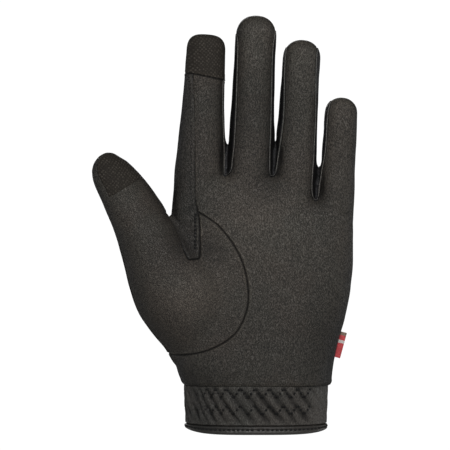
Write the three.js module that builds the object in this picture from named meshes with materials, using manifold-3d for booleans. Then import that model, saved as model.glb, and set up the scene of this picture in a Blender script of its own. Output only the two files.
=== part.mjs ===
// A left riding glove in thin grained leather, filled out as it is on a hand: fingers up (+Z), palm towards -Y,
// thumb towards -X. The origin is the centre of the wrist opening at the lower edge of the hem.
// Units are millimetres.
//
// The glove is first shaped flat-handed: one outer form and one inner form, each a palm, four fingers and a
// thumb joined together. The leather is what lies between them. It is cut along the seam lines into the
// pieces that are sewn together, and all of them are then bent alike into the relaxed curve of a hand.
import * as THREE from "three";
import { mergeVertices } from "three/addons/utils/BufferGeometryUtils.js";
import Module from "manifold-3d";

const wasm = await Module();
wasm.setup();

// Driving sizes
const hemHeight = 4.7; // rolled binding round the wrist opening
const hemThickness = 3.4;
const hemLift = 1.5; // the hem's lower edge is drawn up this far at the two sides
const cuffHeight = 20; // gathered wristband above the binding
const cuffThickness = 2;
const gatherCount = 26; // puckers round the wristband
const gatherDepth = 1.2;
const wristWidth = 73.6;
const cuffTaperWidth = 0.9; // the wristband is this much slimmer all round at the binding
const wristDepth = 42;
const palmLength = 107; // wristband to the crotch of the middle finger
const palmWidth = 92;
const palmDepth = 31;
const knuckleDrop = 12.7; // how much lower the crotch beside the little finger is
const leather = 1.2; // wall of every panel
const seamGap = 0.3; // between two pieces that meet in a seam
const indexLength = 71.4;
const indexWidth = 21.2;
const middleLength = 80.9;
const middleWidth = 21.6;
const ringLength = 68.4;
const ringWidth = 19.6;
const littleLength = 51.9;
const littleWidth = 17.2;
const fingerDepthShare = 0.9; // a finger's depth as a share of its width
const thumbWidth = 24.4;
const thumbDepth = 20;
const fourchetteRadial = 6.4; // side strip's front seam on the thumb side of a finger, from its middle plane
const fourchetteUlnar = 4.4; // the same on the little finger's side
const fourchetteBack = 5.6; // its back seam
const indexCapLength = 11.2; // touch fabric on the index fingertip, from the tip to its seam, less the slant
const thumbSeam = 5; // side seam of the thumb, this far in front of its middle plane
const capWrap = 2.6; // the index cap reaches this far behind the middle plane
const fingerCurl = 6; // how far the middle fingertip bends towards the palm side
const palmCup = 2.8; // how far the palm's edges bend forward
const labelHeight = 13.8;
const labelWidth = 5.2;
const labelThickness = 0.9;
const labelTuck = 1.6; // part of the label's width that is held in the side seam

// Levels and spans that follow from them
const cuffTop = hemHeight + cuffHeight;
const crotchLevel = cuffTop + palmLength;
const halfPalm = palmWidth / 2;
const farOut = 2 * (palmWidth + middleLength); // beyond the glove on every side

// Palm sections. rise: share of palmLength; left, right: shares of palmWidth; front, back: shares of palmDepth
const palmSections = [
  { rise: 0.0, left: -0.399, right: 0.41, front: 0.68, back: 0.68 },
  { rise: 0.05, left: -0.43, right: 0.418, front: 0.68, back: 0.67 },
  { rise: 0.11, left: -0.452, right: 0.43, front: 0.66, back: 0.64 },
  { rise: 0.2, left: -0.453, right: 0.452, front: 0.61, back: 0.59 },
  { rise: 0.33, left: -0.455, right: 0.493, front: 0.55, back: 0.54 },
  { rise: 0.47, left: -0.46, right: 0.523, front: 0.5, back: 0.51 },
  { rise: 0.64, left: -0.468, right: 0.535, front: 0.46, back: 0.49 },
  { rise: 0.82, left: -0.468, right: 0.535, front: 0.41, back: 0.45 },
  { rise: 0.9, left: -0.462, right: 0.534, front: 0.37, back: 0.41 },
  { rise: 0.955, left: -0.452, right: 0.53, front: 0.31, back: 0.34 },
  { rise: 0.99, left: -0.44, right: 0.52, front: 0.2, back: 0.23 },
  { rise: 1.0, left: -0.43, right: 0.51, front: 0.1, back: 0.12 },
];
const palmSquareness = 2.7;

// Fingers. across: crotch-level place as a share of palmWidth; lean: degrees towards the little finger side;
// flare: how much wider the root is; tipSquareness: 2 for a round tip, more for a flat one
const fingers = {
  index: {
    across: -0.311, drop: 0, lean: 2.9, length: indexLength, width: indexWidth, flare: 0.25, tipSquareness: 3,
  },
  middle: {
    across: -0.0365, drop: 0, lean: 2.6, length: middleLength, width: middleWidth, flare: 0.13, tipSquareness: 2.1,
  },
  ring: {
    across: 0.2165, drop: 0, lean: 3.1, length: ringLength, width: ringWidth, flare: 0.13, tipSquareness: 2.1,
  },
  little: {
    across: 0.4385, drop: 1, lean: 3.9, length: littleLength, width: littleWidth, flare: 0.13, tipSquareness: 2.1,
  },
};
// Finger shaft. along: share of the finger's length from the crotch; flare: share of its flare;
// width, depth: shares of its width and depth
const shaftSections = [
  { along: -0.34, flare: 0.9, width: 1.0, depth: 1.05 },
  { along: 0.0, flare: 1.0, width: 1.0, depth: 1.12 },
  { along: 0.18, flare: 0.62, width: 1.0, depth: 1.06 },
  { along: 0.34, flare: 0.36, width: 1.0, depth: 1.02 },
  { along: 0.52, flare: 0.1, width: 1.0, depth: 0.99 },
  { along: 0.72, flare: 0.0, width: 0.965, depth: 0.94 },
];
const fingertipWidth = 0.93; // shares of the finger's width and depth where its tip starts to round
const fingertipDepth = 0.88;
const tipSteps = 4; // sections in the rounding of a tip
const fingerSquareness = 2.35;

// Thumb sections from the heel of the palm to the tip. across: share of palmWidth; rise: share of palmLength;
// turn: degrees that the section leans outward; width, front, back: shares of half the thumb's width and depth
const thumbSections = [
  { across: -0.217, rise: 0.236, turn: 45, width: 1.76, front: 1.25, back: 0.95 },
  { across: -0.261, rise: 0.264, turn: 45, width: 2.1, front: 1.6, back: 1.2 },
  { across: -0.326, rise: 0.353, turn: 41, width: 2.1, front: 1.9, back: 1.35 },
  { across: -0.393, rise: 0.431, turn: 32, width: 2.08, front: 2.02, back: 1.4 },
  { across: -0.475, rise: 0.541, turn: 21, width: 1.82, front: 1.9, back: 1.38 },
  { across: -0.563, rise: 0.673, turn: 17, width: 1.47, front: 1.6, back: 1.25 },
  { across: -0.649, rise: 0.797, turn: 24, width: 1.17, front: 1.3, back: 1.15 },
  { across: -0.734, rise: 0.923, turn: 31, width: 1.0, front: 1.06, back: 1.0 },
  { across: -0.799, rise: 1.007, turn: 31, width: 0.83, front: 0.9, back: 0.86 },
  { across: -0.833, rise: 1.053, turn: 31, width: 0.58, front: 0.62, back: 0.6 },
  { across: -0.848, rise: 1.089, turn: 31, width: 0.27, front: 0.3, back: 0.3 },
];
const thumbSquareness = 2.1;

// Seams as seen from the front. across: share of palmWidth; rise: share of palmLength above the wristband
// Index side panel: its seam runs down the index finger and round the tongue that is let into the thumb's root.
const tongueSeam = [
  { across: -0.338, rise: 1.9 },
  { across: -0.352, rise: 1.482 },
  { across: -0.3435, rise: 1.359 },
  { across: -0.338, rise: 1.216 },
  { across: -0.338, rise: 1.049 },
  { across: -0.34, rise: 0.882 },
  { across: -0.327, rise: 0.778 },
  { across: -0.313, rise: 0.692 },
  { across: -0.309, rise: 0.62 },
  { across: -0.333, rise: 0.598 },
  { across: -0.363, rise: 0.598 },
  { across: -0.388, rise: 0.622 },
  { across: -0.408, rise: 0.672 },
  { across: -0.443, rise: 0.749 },
  { across: -0.483, rise: 0.806 },
  { across: -0.513, rise: 0.9 },
  { across: -0.54, rise: 1.0 },
];
// On the back of the hand the same panel ends above the thumb, without a tongue.
const stripBackSeam = [
  { across: -0.338, rise: 1.9 },
  { across: -0.352, rise: 1.482 },
  { across: -0.352, rise: 1.2 },
  { across: -0.362, rise: 1.04 },
  { across: -0.386, rise: 0.92 },
  { across: -0.42, rise: 0.83 },
  { across: -0.45, rise: 0.79 },
  { across: -0.483, rise: 0.806 },
  { across: -0.513, rise: 0.9 },
  { across: -0.54, rise: 1.0 },
];
// Oval seam of the thumb's front panel, from the tongue down to the heel of the palm.
const ovalSeam = [
  { across: -0.33, rise: 0.826 },
  { across: -0.305, rise: 0.813 },
  { across: -0.255, rise: 0.787 },
  { across: -0.2, rise: 0.749 },
  { across: -0.145, rise: 0.692 },
  { across: -0.102, rise: 0.632 },
  { across: -0.067, rise: 0.561 },
  { across: -0.045, rise: 0.463 },
  { across: -0.05, rise: 0.367 },
  { across: -0.095, rise: 0.272 },
  { across: -0.161, rise: 0.215 },
  { across: -0.252, rise: 0.174 },
  { across: -0.322, rise: 0.156 },
  { across: -0.43, rise: 0.142 },
  { across: -0.6, rise: 0.142 },
];
// Seam between the thumb's back panel and the back of the glove.
const thumbBackSeam = [
  { across: -0.45, rise: 0.79 },
  { across: -0.4, rise: 0.66 },
  { across: -0.385, rise: 0.5 },
  { across: -0.395, rise: 0.34 },
  { across: -0.43, rise: 0.21 },
  { across: -0.5, rise: 0.142 },
  { across: -0.6, rise: 0.142 },
];
// Lower seam of the touch fabric on the thumb.
const thumbCapSeam = [
  { across: -0.58, rise: 1.04 },
  { across: -0.64, rise: 0.982 },
  { across: -0.73, rise: 0.93 },
  { across: -0.81, rise: 0.892 },
  { across: -0.95, rise: 0.86 },
];
const indexCapSlant = -0.19; // the index cap's seam falls by this share towards the middle finger

// Taper of a side strip towards the fingertip. below: down from the tip, as a share of the finger's width;
// depth: share of the strip's front and back reach
const fourchetteTaper = [
  { below: 2.1, depth: 1 },
  { below: 1.5, depth: 0.85 },
  { below: 0.95, depth: 0.5 },
  { below: 0.55, depth: 0.06 },
];

// Wristband profile. rise: share of cuffHeight; swell: share of gatherDepth; shift: share of one gather
const gatherRows = [
  { rise: 0.0, swell: 0.3, shift: 0.0 },
  { rise: 0.2, swell: 1.0, shift: 0.1 },
  { rise: 0.36, swell: 0.7, shift: 0.3 },
  { rise: 0.55, swell: 1.0, shift: 0.5 },
  { rise: 0.76, swell: 0.8, shift: 0.8 },
  { rise: 0.92, swell: 0.5, shift: 1.0 },
  { rise: 1.0, swell: 0.2, shift: 1.0 },
];
const pointsPerGather = 3;

const palmSides = 32;
const fingerSides = 18;
const insideShare = 0.78; // the hollow inside has this share of the outside's sides
const hemSides = 42;

// A closed mesh as a solid that can be joined and cut
function solidOf(geometry) {
  const bare = geometry.index ? geometry.toNonIndexed() : geometry.clone();
  bare.deleteAttribute("normal");
  bare.deleteAttribute("uv");
  const merged = mergeVertices(bare, 1e-4);
  return new wasm.Manifold(
    new wasm.Mesh({
      numProp: 3,
      vertProperties: merged.attributes.position.array,
      triVerts: new Uint32Array(merged.index.array),
    }),
  );
}

function geometryOf(solid) {
  const mesh = solid.getMesh();
  const positions = new Float32Array(mesh.numVert * 3);
  for (let i = 0; i < mesh.numVert; i++) {
    positions.set(mesh.vertProperties.subarray(i * mesh.numProp, i * mesh.numProp + 3), i * 3);
  }
  const geometry = new THREE.BufferGeometry();
  geometry.setAttribute("position", new THREE.BufferAttribute(positions, 3));
  geometry.setIndex(new THREE.BufferAttribute(mesh.triVerts, 1));
  return geometry;
}

function geometryFrom(points, faces) {
  const geometry = new THREE.BufferGeometry().setFromPoints(points);
  geometry.setIndex(faces);
  return geometry;
}

// Faces of the skin between two rings of points that run counter-clockwise seen from the second ring's side
function bridge(faces, lower, upper, sides) {
  for (let s = 0; s < sides; s++) {
    const next = (s + 1) % sides;
    faces.push(lower + s, lower + next, upper + next, lower + s, upper + next, upper + s);
  }
}

// A closed solid through a stack of rings, each end closed by a fan round its centre point
function loft(rings, endPoints) {
  const sides = rings[0].length;
  const points = [...rings.flat(), ...endPoints];
  const faces = [];
  for (let r = 0; r + 1 < rings.length; r++) {
    bridge(faces, r * sides, (r + 1) * sides, sides);
  }
  const bottomCentre = rings.length * sides;
  const topRing = (rings.length - 1) * sides;
  for (let s = 0; s < sides; s++) {
    const next = (s + 1) % sides;
    faces.push(bottomCentre, next, s, bottomCentre + 1, topRing + s, topRing + next);
  }
  return solidOf(geometryFrom(points, faces));
}

// A closed band: rings that follow each other round a closed profile
function band(rings) {
  const sides = rings[0].length;
  const faces = [];
  rings.forEach((_, r) => bridge(faces, r * sides, ((r + 1) % rings.length) * sides, sides));
  return geometryFrom(rings.flat(), faces);
}

// A point on an oval section: u across, v towards the back
function ovalPoint(angle, halfWidth, front, back, squareness) {
  const c = Math.cos(angle);
  const s = Math.sin(angle);
  return {
    u: halfWidth * Math.sign(c) * Math.abs(c) ** (2 / squareness),
    v: (s < 0 ? front : back) * Math.sign(s) * Math.abs(s) ** (2 / squareness),
  };
}

// An oval ring round a centre, its width along a direction that leans by turn degrees in the plane of the palm
function ovalRing(centre, turn, halfWidth, front, back, squareness, sides) {
  const lean = THREE.MathUtils.degToRad(turn);
  return Array.from({ length: sides }, (_, s) => {
    const { u, v } = ovalPoint((2 * Math.PI * s) / sides, halfWidth, front, back, squareness);
    return new THREE.Vector3(centre.x + u * Math.cos(lean), v, centre.z + u * Math.sin(lean));
  });
}

const sidesFor = (sides, inset) => (inset > 0 ? Math.round(sides * insideShare) : sides);
const smoothStep = THREE.MathUtils.smoothstep;

// How far the knuckle line has dropped at a place across the palm, from the ring finger on
function dropAt(x) {
  return knuckleDrop * smoothStep(x, 0.08 * palmWidth, 0.3 * palmWidth);
}

function palmForm(inset) {
  const mouthExtension = inset > 0 ? palmLength * 0.1 : 0;
  const rings = palmSections.map((section, index) => {
    const left = section.left * palmWidth + inset;
    const right = section.right * palmWidth - inset;
    const centre = { x: (left + right) / 2, z: cuffTop + seamGap / 2 + section.rise * palmLength };
    const thin = (share) => Math.max(share * palmDepth - inset, inset / 2);
    const ring = ovalRing(
      centre, 0, (right - left) / 2, thin(section.front), thin(section.back), palmSquareness,
      sidesFor(palmSides, inset),
    );
    ring.forEach((point) => {
      point.z -= dropAt(point.x) * section.rise ** 3 + inset * section.rise ** 3;
      if (index === 0) point.z -= mouthExtension;
    });
    return ring;
  });
  const middleOf = (ring) =>
    ring.reduce((sum, point) => sum.add(point), new THREE.Vector3()).divideScalar(ring.length);
  return loft(rings, [middleOf(rings[0]), middleOf(rings.at(-1))]);
}

// A point on a finger's middle line, at a distance from its crotch
function onFinger(finger, distance) {
  const lean = THREE.MathUtils.degToRad(finger.lean);
  return {
    x: finger.across * palmWidth + distance * Math.sin(lean),
    z: crotchLevel - finger.drop * knuckleDrop + distance * Math.cos(lean),
  };
}

function fingerForm(finger, inset) {
  const halfWidth = finger.width / 2;
  const halfDepth = halfWidth * fingerDepthShare;
  const ringAt = (distance, width, depth) =>
    ovalRing(
      onFinger(finger, distance), -finger.lean, width, depth, depth, fingerSquareness, sidesFor(fingerSides, inset),
    );
  const rings = shaftSections.map((section) =>
    ringAt(
      section.along * finger.length,
      halfWidth * section.width * (1 + finger.flare * section.flare) - inset,
      halfDepth * section.depth - inset,
    ),
  );
  const tipWidth = halfWidth * fingertipWidth - inset;
  const tipDepth = halfDepth * fingertipDepth - inset;
  const tipStart = finger.length - halfWidth * fingertipWidth;
  for (let step = 0; step < tipSteps; step++) {
    const angle = ((step / tipSteps) * Math.PI) / 2;
    const round = (value) => value ** (2 / finger.tipSquareness);
    const distance = tipStart + tipWidth * round(Math.sin(angle));
    rings.push(ringAt(distance, tipWidth * round(Math.cos(angle)), tipDepth * round(Math.cos(angle))));
  }
  const ends = [shaftSections[0].along * finger.length, tipStart + tipWidth];
  return loft(rings, ends.map((distance) => {
    const { x, z } = onFinger(finger, distance);
    return new THREE.Vector3(x, 0, z);
  }));
}

function thumbForm(inset) {
  const last = thumbSections.length - 1;
  const rings = thumbSections.map((section, index) => {
    const turn = THREE.MathUtils.degToRad(section.turn);
    const pullBack = index > last - 2 ? inset : 0;
    const centre = {
      x: section.across * palmWidth + pullBack * Math.sin(turn),
      z: cuffTop + section.rise * palmLength - pullBack * Math.cos(turn),
    };
    const thin = (share, size) => Math.max((share * size) / 2 - inset, inset / 2);
    return ovalRing(
      centre, section.turn, thin(section.width, thumbWidth), thin(section.front, thumbDepth),
      thin(section.back, thumbDepth), thumbSquareness, sidesFor(fingerSides, inset),
    );
  });
  const middleOf = (ring) =>
    ring.reduce((sum, point) => sum.add(point), new THREE.Vector3()).divideScalar(ring.length);
  return loft(rings, [middleOf(rings[0]), middleOf(rings.at(-1))]);
}

function handForm(inset) {
  return Object.values(fingers)
    .map((finger) => fingerForm(finger, inset))
    .concat(thumbForm(inset))
    .reduce((joined, form) => joined.add(form), palmForm(inset));
}

// Cutting tools. An outline in the plane of the palm, as {x, z} points, cut through from one depth to another
function throughCut(outline, fromY, toY) {
  const shape = new THREE.Shape(outline.map(({ x, z }) => new THREE.Vector2(x, z)));
  const geometry = new THREE.ExtrudeGeometry(shape, { depth: toY - fromY, bevelEnabled: false });
  geometry.rotateX(Math.PI / 2);
  geometry.translate(0, toY, 0);
  return solidOf(geometry);
}

// An outline in side view, as {y, z} points, cut from one side to the other
function sideCut(outline, fromX, toX) {
  const shape = new THREE.Shape(outline.map(({ y, z }) => new THREE.Vector2(y, z)));
  const geometry = new THREE.ExtrudeGeometry(shape, { depth: toX - fromX, bevelEnabled: false });
  geometry.rotateX(Math.PI / 2);
  geometry.rotateZ(Math.PI / 2);
  geometry.translate(fromX, 0, 0);
  return solidOf(geometry);
}

const seamPoint = ({ across, rise }) => ({ x: across * palmWidth, z: cuffTop + rise * palmLength });

// A seam's points as a smooth line with a few steps between each two of them
function seamLine(seam, steps = 2) {
  const knots = seam.map(seamPoint).map(({ x, z }) => new THREE.Vector2(x, z));
  const spline = new THREE.SplineCurve(knots);
  return spline.getPoints((seam.length - 1) * steps).map((p) => ({ x: p.x, z: p.y }));
}

// The knife that parts two pieces along a seam: a wall of the seam gap's width that follows the line
function seamKnife(line, fromY, toY) {
  const side = (sign) =>
    line.map((point, i) => {
      const before = line[Math.max(i - 1, 0)];
      const after = line[Math.min(i + 1, line.length - 1)];
      const length = Math.hypot(after.x - before.x, after.z - before.z);
      const shift = (sign * seamGap) / 2 / length;
      return { x: point.x - (after.z - before.z) * shift, z: point.z + (after.x - before.x) * shift };
    });
  return throughCut([...side(1), ...side(-1).reverse()], fromY, toY);
}

const cutAway = (solid, ...tools) => tools.reduce((left, tool) => left.subtract(tool), solid);

// The largest of the bodies that a cut leaves, so that no crumb stays beside a panel
function mainBody(solid) {
  return solid.decompose().reduce((best, body) => (body.volume() > best.volume() ? body : best));
}

// Seam lines and the regions that they bound
const tongueLine = seamLine(tongueSeam);
const stripBackLine = seamLine(stripBackSeam);
const ovalLine = seamLine(ovalSeam);
const thumbBackLine = seamLine(thumbBackSeam);
const thumbCapLine = seamLine(thumbCapSeam);
const outerLeft = -farOut;
const topLeftCorner = { x: outerLeft, z: farOut };

const stripRegion = (line, fromY, toY) =>
  throughCut([...line, { x: line.at(-1).x, z: farOut }, { x: line[0].x, z: farOut }], fromY, toY);

function thumbRegion(line, fromY, toY) {
  const corner = { x: outerLeft, z: line.at(-1).z };
  const top = tongueLine.at(-1);
  return throughCut(
    [...line, corner, topLeftCorner, { x: top.x, z: farOut }, top, tongueLine.at(-3)], fromY, toY,
  );
}

// The fold that carries the bend from straight to relaxed is applied last, so cuts are made on a straight hand
const indexTip = onFinger(fingers.index, indexLength);
const indexCapLine = [
  { x: outerLeft, z: indexTip.z - indexCapLength - indexWidth / 2 + indexCapSlant * (outerLeft - indexTip.x) },
  { x: farOut, z: indexTip.z - indexCapLength - indexWidth / 2 + indexCapSlant * (farOut - indexTip.x) },
];
const indexCapRight = (onFinger(fingers.index, indexLength).x + onFinger(fingers.middle, indexLength).x) / 2;
const capSeamHeight = (x) => indexTip.z - indexCapLength - indexWidth / 2 + indexCapSlant * (x - indexTip.x);

function indexCapRegion(grow) {
  const left = indexTip.x - indexWidth;
  return throughCut(
    [
      { x: left, z: capSeamHeight(left) - grow },
      { x: indexCapRight, z: capSeamHeight(indexCapRight) - grow },
      { x: indexCapRight, z: farOut },
      { x: left, z: farOut },
    ],
    -farOut,
    capWrap + grow,
  );
}

const thumbCapRegion = () =>
  throughCut([...thumbCapLine, { x: outerLeft, z: thumbCapLine.at(-1).z }, topLeftCorner,
    { x: thumbCapLine[0].x, z: farOut }], -farOut, -thumbSeam);

// The strip that closes the side of two neighbouring fingers, folded in the crotch between them
function fourchetteRegion(first, second, grow) {
  const crotch = crotchLevel - dropAt((onFinger(first, 0).x + onFinger(second, 0).x) / 2);
  const low = crotch - 3 * leather;
  const sideProfile = (front, finger) => {
    const tip = onFinger(finger, finger.length).z;
    const edge = fourchetteTaper.map(({ below, depth }) => ({ depth, z: tip - below * finger.width + grow }));
    return [
      { y: -front - grow, z: low },
      { y: fourchetteBack + grow, z: low },
      ...edge.map(({ depth, z }) => ({ y: depth * fourchetteBack + grow, z })),
      ...edge.toReversed().map(({ depth, z }) => ({ y: -depth * front - grow, z })),
    ];
  };
  const sector = (from, to) => [from(low), to(low), to(farOut), from(farOut)];
  const along = (finger) => (z) => ({
    x: onFinger(finger, 0).x + (z - onFinger(finger, 0).z) * Math.tan(THREE.MathUtils.degToRad(finger.lean)),
    z,
  });
  const between = (z) => {
    const left = onFinger(first, 0).x + first.width * (0.5 + first.flare / 2);
    const right = onFinger(second, 0).x - second.width * (0.5 + second.flare / 2);
    const lean = THREE.MathUtils.degToRad((first.lean + second.lean) / 2);
    return { x: (left + right) / 2 + (z - crotch) * Math.tan(lean), z };
  };
  const strip = (profile, outline) =>
    sideCut(profile, -farOut, farOut).intersect(throughCut(outline, -palmDepth, palmDepth));
  const pastMiddle = (z) => ({ x: between(z).x + seamGap, z });
  return strip(sideProfile(fourchetteUlnar, first), sector(along(first), pastMiddle)).add(
    strip(sideProfile(fourchetteRadial, second), sector(between, along(second))),
  );
}

const fingerList = Object.entries(fingers);
const gaps = fingerList.slice(1).map(([name, finger], i) => ({
  name: `fourchette_${fingerList[i][0]}_${name}`,
  region: (grow) => fourchetteRegion(fingerList[i][1], finger, grow),
}));

// The woven label stands out of the seam on the little finger's side
const labelRise = 0.193; // its middle, as a share of palmLength
function edgeAt(rise) {
  const above = palmSections.findIndex((section) => section.rise > rise);
  const [low, high] = [palmSections[above - 1], palmSections[above]];
  const share = (rise - low.rise) / (high.rise - low.rise);
  return { x: palmWidth * THREE.MathUtils.lerp(low.right, high.right, share), z: cuffTop + rise * palmLength };
}
function labelSolid(grow) {
  const middle = edgeAt(labelRise);
  const above = edgeAt(labelRise + labelHeight / 2 / palmLength);
  const slant = Math.atan2(above.x - middle.x, above.z - middle.z);
  const geometry = new THREE.BoxGeometry(labelWidth + grow, labelThickness + 2 * grow, labelHeight + 2 * grow);
  geometry.translate(labelWidth / 2 - labelTuck, 0, 0);
  geometry.rotateY(slant);
  geometry.translate(middle.x, 0, middle.z);
  return solidOf(geometry);
}

// The pieces, cut on the straight hand
const shell = handForm(0).subtract(handForm(leather));
const halfGap = seamGap / 2;
const throughout = [-farOut, farOut];
const sideRegion = stripRegion(tongueLine, -farOut, seamGap).add(stripRegion(stripBackLine, 0, farOut));
const sideKnives = [seamKnife(tongueLine, -farOut, 2 * seamGap), seamKnife(stripBackLine, -seamGap, farOut)];
const everyside = [
  { x: -farOut, z: -farOut }, { x: farOut, z: -farOut }, { x: farOut, z: farOut }, { x: -farOut, z: farOut },
];
const frontHalf = throughCut(everyside, -farOut, -halfGap);
const backHalf = throughCut(everyside, halfGap, farOut);
const thumbFrontDepth = throughCut(everyside, -farOut, -thumbSeam - halfGap);
const thumbBackDepth = throughCut(everyside, -thumbSeam + halfGap, farOut);
const fourchetteCuts = gaps.map((gap) => gap.region(seamGap));

const panels = {
  palm_panel: cutAway(
    shell.intersect(frontHalf), ...fourchetteCuts, sideRegion, thumbRegion(ovalLine, ...throughout),
    indexCapRegion(seamGap), ...sideKnives, seamKnife(ovalLine, -farOut, 0), labelSolid(seamGap),
  ),
  back_panel: cutAway(
    shell.intersect(backHalf), ...fourchetteCuts, sideRegion, thumbRegion(thumbBackLine, ...throughout),
    indexCapRegion(seamGap), ...sideKnives,
    seamKnife(thumbBackLine, 0, farOut), labelSolid(seamGap),
  ),
  index_side_panel: cutAway(
    shell.intersect(sideRegion), ...sideKnives, indexCapRegion(seamGap), ...fourchetteCuts,
  ),
  thumb_front_panel: cutAway(
    shell.intersect(thumbRegion(ovalLine, ...throughout)).intersect(thumbFrontDepth), sideRegion, ...sideKnives,
    seamKnife(ovalLine, -farOut, 0), thumbCapRegion(), seamKnife(thumbCapLine, -farOut, 0),
  ),
  thumb_back_panel: cutAway(
    shell.intersect(thumbRegion(thumbBackLine, ...throughout)).intersect(thumbBackDepth), sideRegion, ...sideKnives,
    seamKnife(thumbBackLine, ...throughout),
  ),
  index_touch_cap: shell.intersect(indexCapRegion(0)),
  thumb_touch_cap: cutAway(
    shell.intersect(thumbCapRegion()).intersect(thumbFrontDepth), seamKnife(thumbCapLine, -farOut, 0),
  ),
};
gaps.forEach((gap) => {
  panels[gap.name] = cutAway(shell.intersect(gap.region(0)), indexCapRegion(seamGap));
});

// The wrist outline at a distance outside the wristband's own surface
function wristRing(outward, z, sides, ripple = () => 0) {
  return Array.from({ length: sides }, (_, s) => {
    const angle = (2 * Math.PI * s) / sides;
    const out = outward - cuffTaperWidth * (1 - Math.min(z / cuffTop, 1)) + ripple(s / sides);
    const { u, v } = ovalPoint(angle, wristWidth / 2 + out, wristDepth / 2 + out, wristDepth / 2 + out,
      palmSquareness - 0.3);
    return new THREE.Vector3(u, v, z);
  });
}

// The leather wristband, gathered into puckers on hidden elastic; its inside is smooth
function cuffGeometry() {
  const sides = gatherCount * pointsPerGather;
  const low = hemHeight + halfGap;
  const high = cuffTop - halfGap;
  const outside = gatherRows.map(({ rise, swell, shift }) =>
    wristRing(0, THREE.MathUtils.lerp(low, high, rise), sides, (turn) =>
      (gatherDepth * swell * (Math.cos(2 * Math.PI * (turn * gatherCount + shift)) - 1)) / 2,
    ),
  );
  const inside = [high, low].map((z) => wristRing(-cuffThickness, z, sides));
  return band([...outside, ...inside]);
}

// The binding is a roll of leather folded round the edge. out: share of hemThickness; rise: share of hemHeight
const hemProfile = [
  { out: -0.24, rise: 0.0 },
  { out: 0.02, rise: 0.14 },
  { out: 0.14, rise: 0.42 },
  { out: 0.08, rise: 0.68 },
  { out: -0.06, rise: 0.8 },
  { out: -0.04, rise: 1.0 },
  { out: -0.6, rise: 1.0 },
  { out: -0.6, rise: 0.1 },
];
function hemGeometry() {
  const top = hemHeight - halfGap;
  const rings = hemProfile.map(({ out, rise }) => {
    const ring = wristRing(out * hemThickness, rise * top, hemSides);
    ring.forEach((point) => {
      point.z += hemLift * (1 - rise) * Math.abs((2 * point.x) / wristWidth) ** 4;
    });
    return ring;
  });
  return band(rings);
}

// The relaxed hand: fingertips and the palm's edges come forward, the thumb furthest
function relax(geometry) {
  const position = geometry.attributes.position;
  for (let i = 0; i < position.count; i++) {
    const beyond = Math.max(position.getZ(i) - crotchLevel, 0) / middleLength;
    const aside = Math.abs(position.getX(i)) / halfPalm;
    const upward = smoothStep(position.getZ(i), cuffTop, cuffTop + palmLength / 2);
    position.setY(i, position.getY(i) - fingerCurl * beyond ** 2 - palmCup * upward * aside ** 2.4);
  }
  return geometry;
}

// Finishes
const finish = (color, roughness) => new THREE.MeshStandardMaterial({ color, roughness, metalness: 0 });
const grainedLeather = finish(0x34322f, 0.62);
const sideLeather = finish(0x1b1b1c, 0.7);
const touchFabric = finish(0x2a2622, 0.85);
const bindingLeather = finish(0x232322, 0.4);
const labelWeave = finish(0xb3282d, 0.8);

const glove = new THREE.Group();

function sewIn(name, geometry, material) {
  const mesh = new THREE.Mesh(geometry, material);
  mesh.name = name;
  glove.add(mesh);
}

for (const [name, solid] of Object.entries(panels)) {
  const material = name.startsWith("fourchette")
    ? sideLeather
    : name.endsWith("touch_cap")
      ? touchFabric
      : grainedLeather;
  sewIn(name, relax(geometryOf(mainBody(solid))), material);
}
sewIn("side_label", relax(geometryOf(labelSolid(0))), labelWeave);
sewIn("cuff", cuffGeometry(), grainedLeather);
sewIn("hem_binding", hemGeometry(), bindingLeather);

export default glove;
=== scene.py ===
import math
import bpy
import numpy as np
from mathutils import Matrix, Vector
from mathutils.bvhtree import BVHTree
from mathutils.kdtree import KDTree


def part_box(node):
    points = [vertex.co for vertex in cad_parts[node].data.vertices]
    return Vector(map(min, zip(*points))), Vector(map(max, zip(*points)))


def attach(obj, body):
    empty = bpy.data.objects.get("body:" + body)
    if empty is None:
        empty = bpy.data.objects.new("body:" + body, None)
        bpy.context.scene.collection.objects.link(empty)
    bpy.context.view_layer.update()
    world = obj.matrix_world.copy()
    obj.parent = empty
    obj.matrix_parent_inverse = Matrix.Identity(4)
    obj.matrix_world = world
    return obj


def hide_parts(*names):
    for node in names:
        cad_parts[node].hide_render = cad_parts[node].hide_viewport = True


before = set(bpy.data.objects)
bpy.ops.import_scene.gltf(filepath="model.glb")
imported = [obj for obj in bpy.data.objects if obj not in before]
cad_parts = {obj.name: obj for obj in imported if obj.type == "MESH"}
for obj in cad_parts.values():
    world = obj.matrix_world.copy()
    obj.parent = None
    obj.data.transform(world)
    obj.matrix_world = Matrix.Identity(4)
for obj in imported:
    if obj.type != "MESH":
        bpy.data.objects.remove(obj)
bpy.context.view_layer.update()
scene = bpy.context.scene

# Lengths are in millimetres until a mesh is made.
# The hand is shaped flat, cut along its seams, and then relaxed.
MM = 0.001

# Driving sizes, as in the solid model
HEM_HEIGHT = 4.7
HEM_THICKNESS = 3.4
HEM_LIFT = 2.2
CUFF_HEIGHT = 20.0
CUFF_THICKNESS = 2.0
CUFF_TAPER = 0.9
GATHERS = 26
GATHER_DEPTH = 1.6
WRIST_WIDTH = 73.6
WRIST_DEPTH = 42.0
PALM_LENGTH = 107.0
PALM_WIDTH = 92.0
PALM_DEPTH = 31.0
KNUCKLE_DROP = 12.7
LEATHER = 1.0
FINGER_DEPTH_SHARE = 0.9
THUMB_WIDTH = 24.4
THUMB_DEPTH = 20.0
THUMB_SEAM = 5.0
SIDE_STRIP_BACK = 5.6
INDEX_CAP_LENGTH = 11.2
INDEX_CAP_SLANT = -0.19
CAP_WRAP = 2.6
FINGER_CURL = 6.0
PALM_CUP = 2.8
CUFF_TOP = HEM_HEIGHT + CUFF_HEIGHT
CROTCH = CUFF_TOP + PALM_LENGTH
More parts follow.
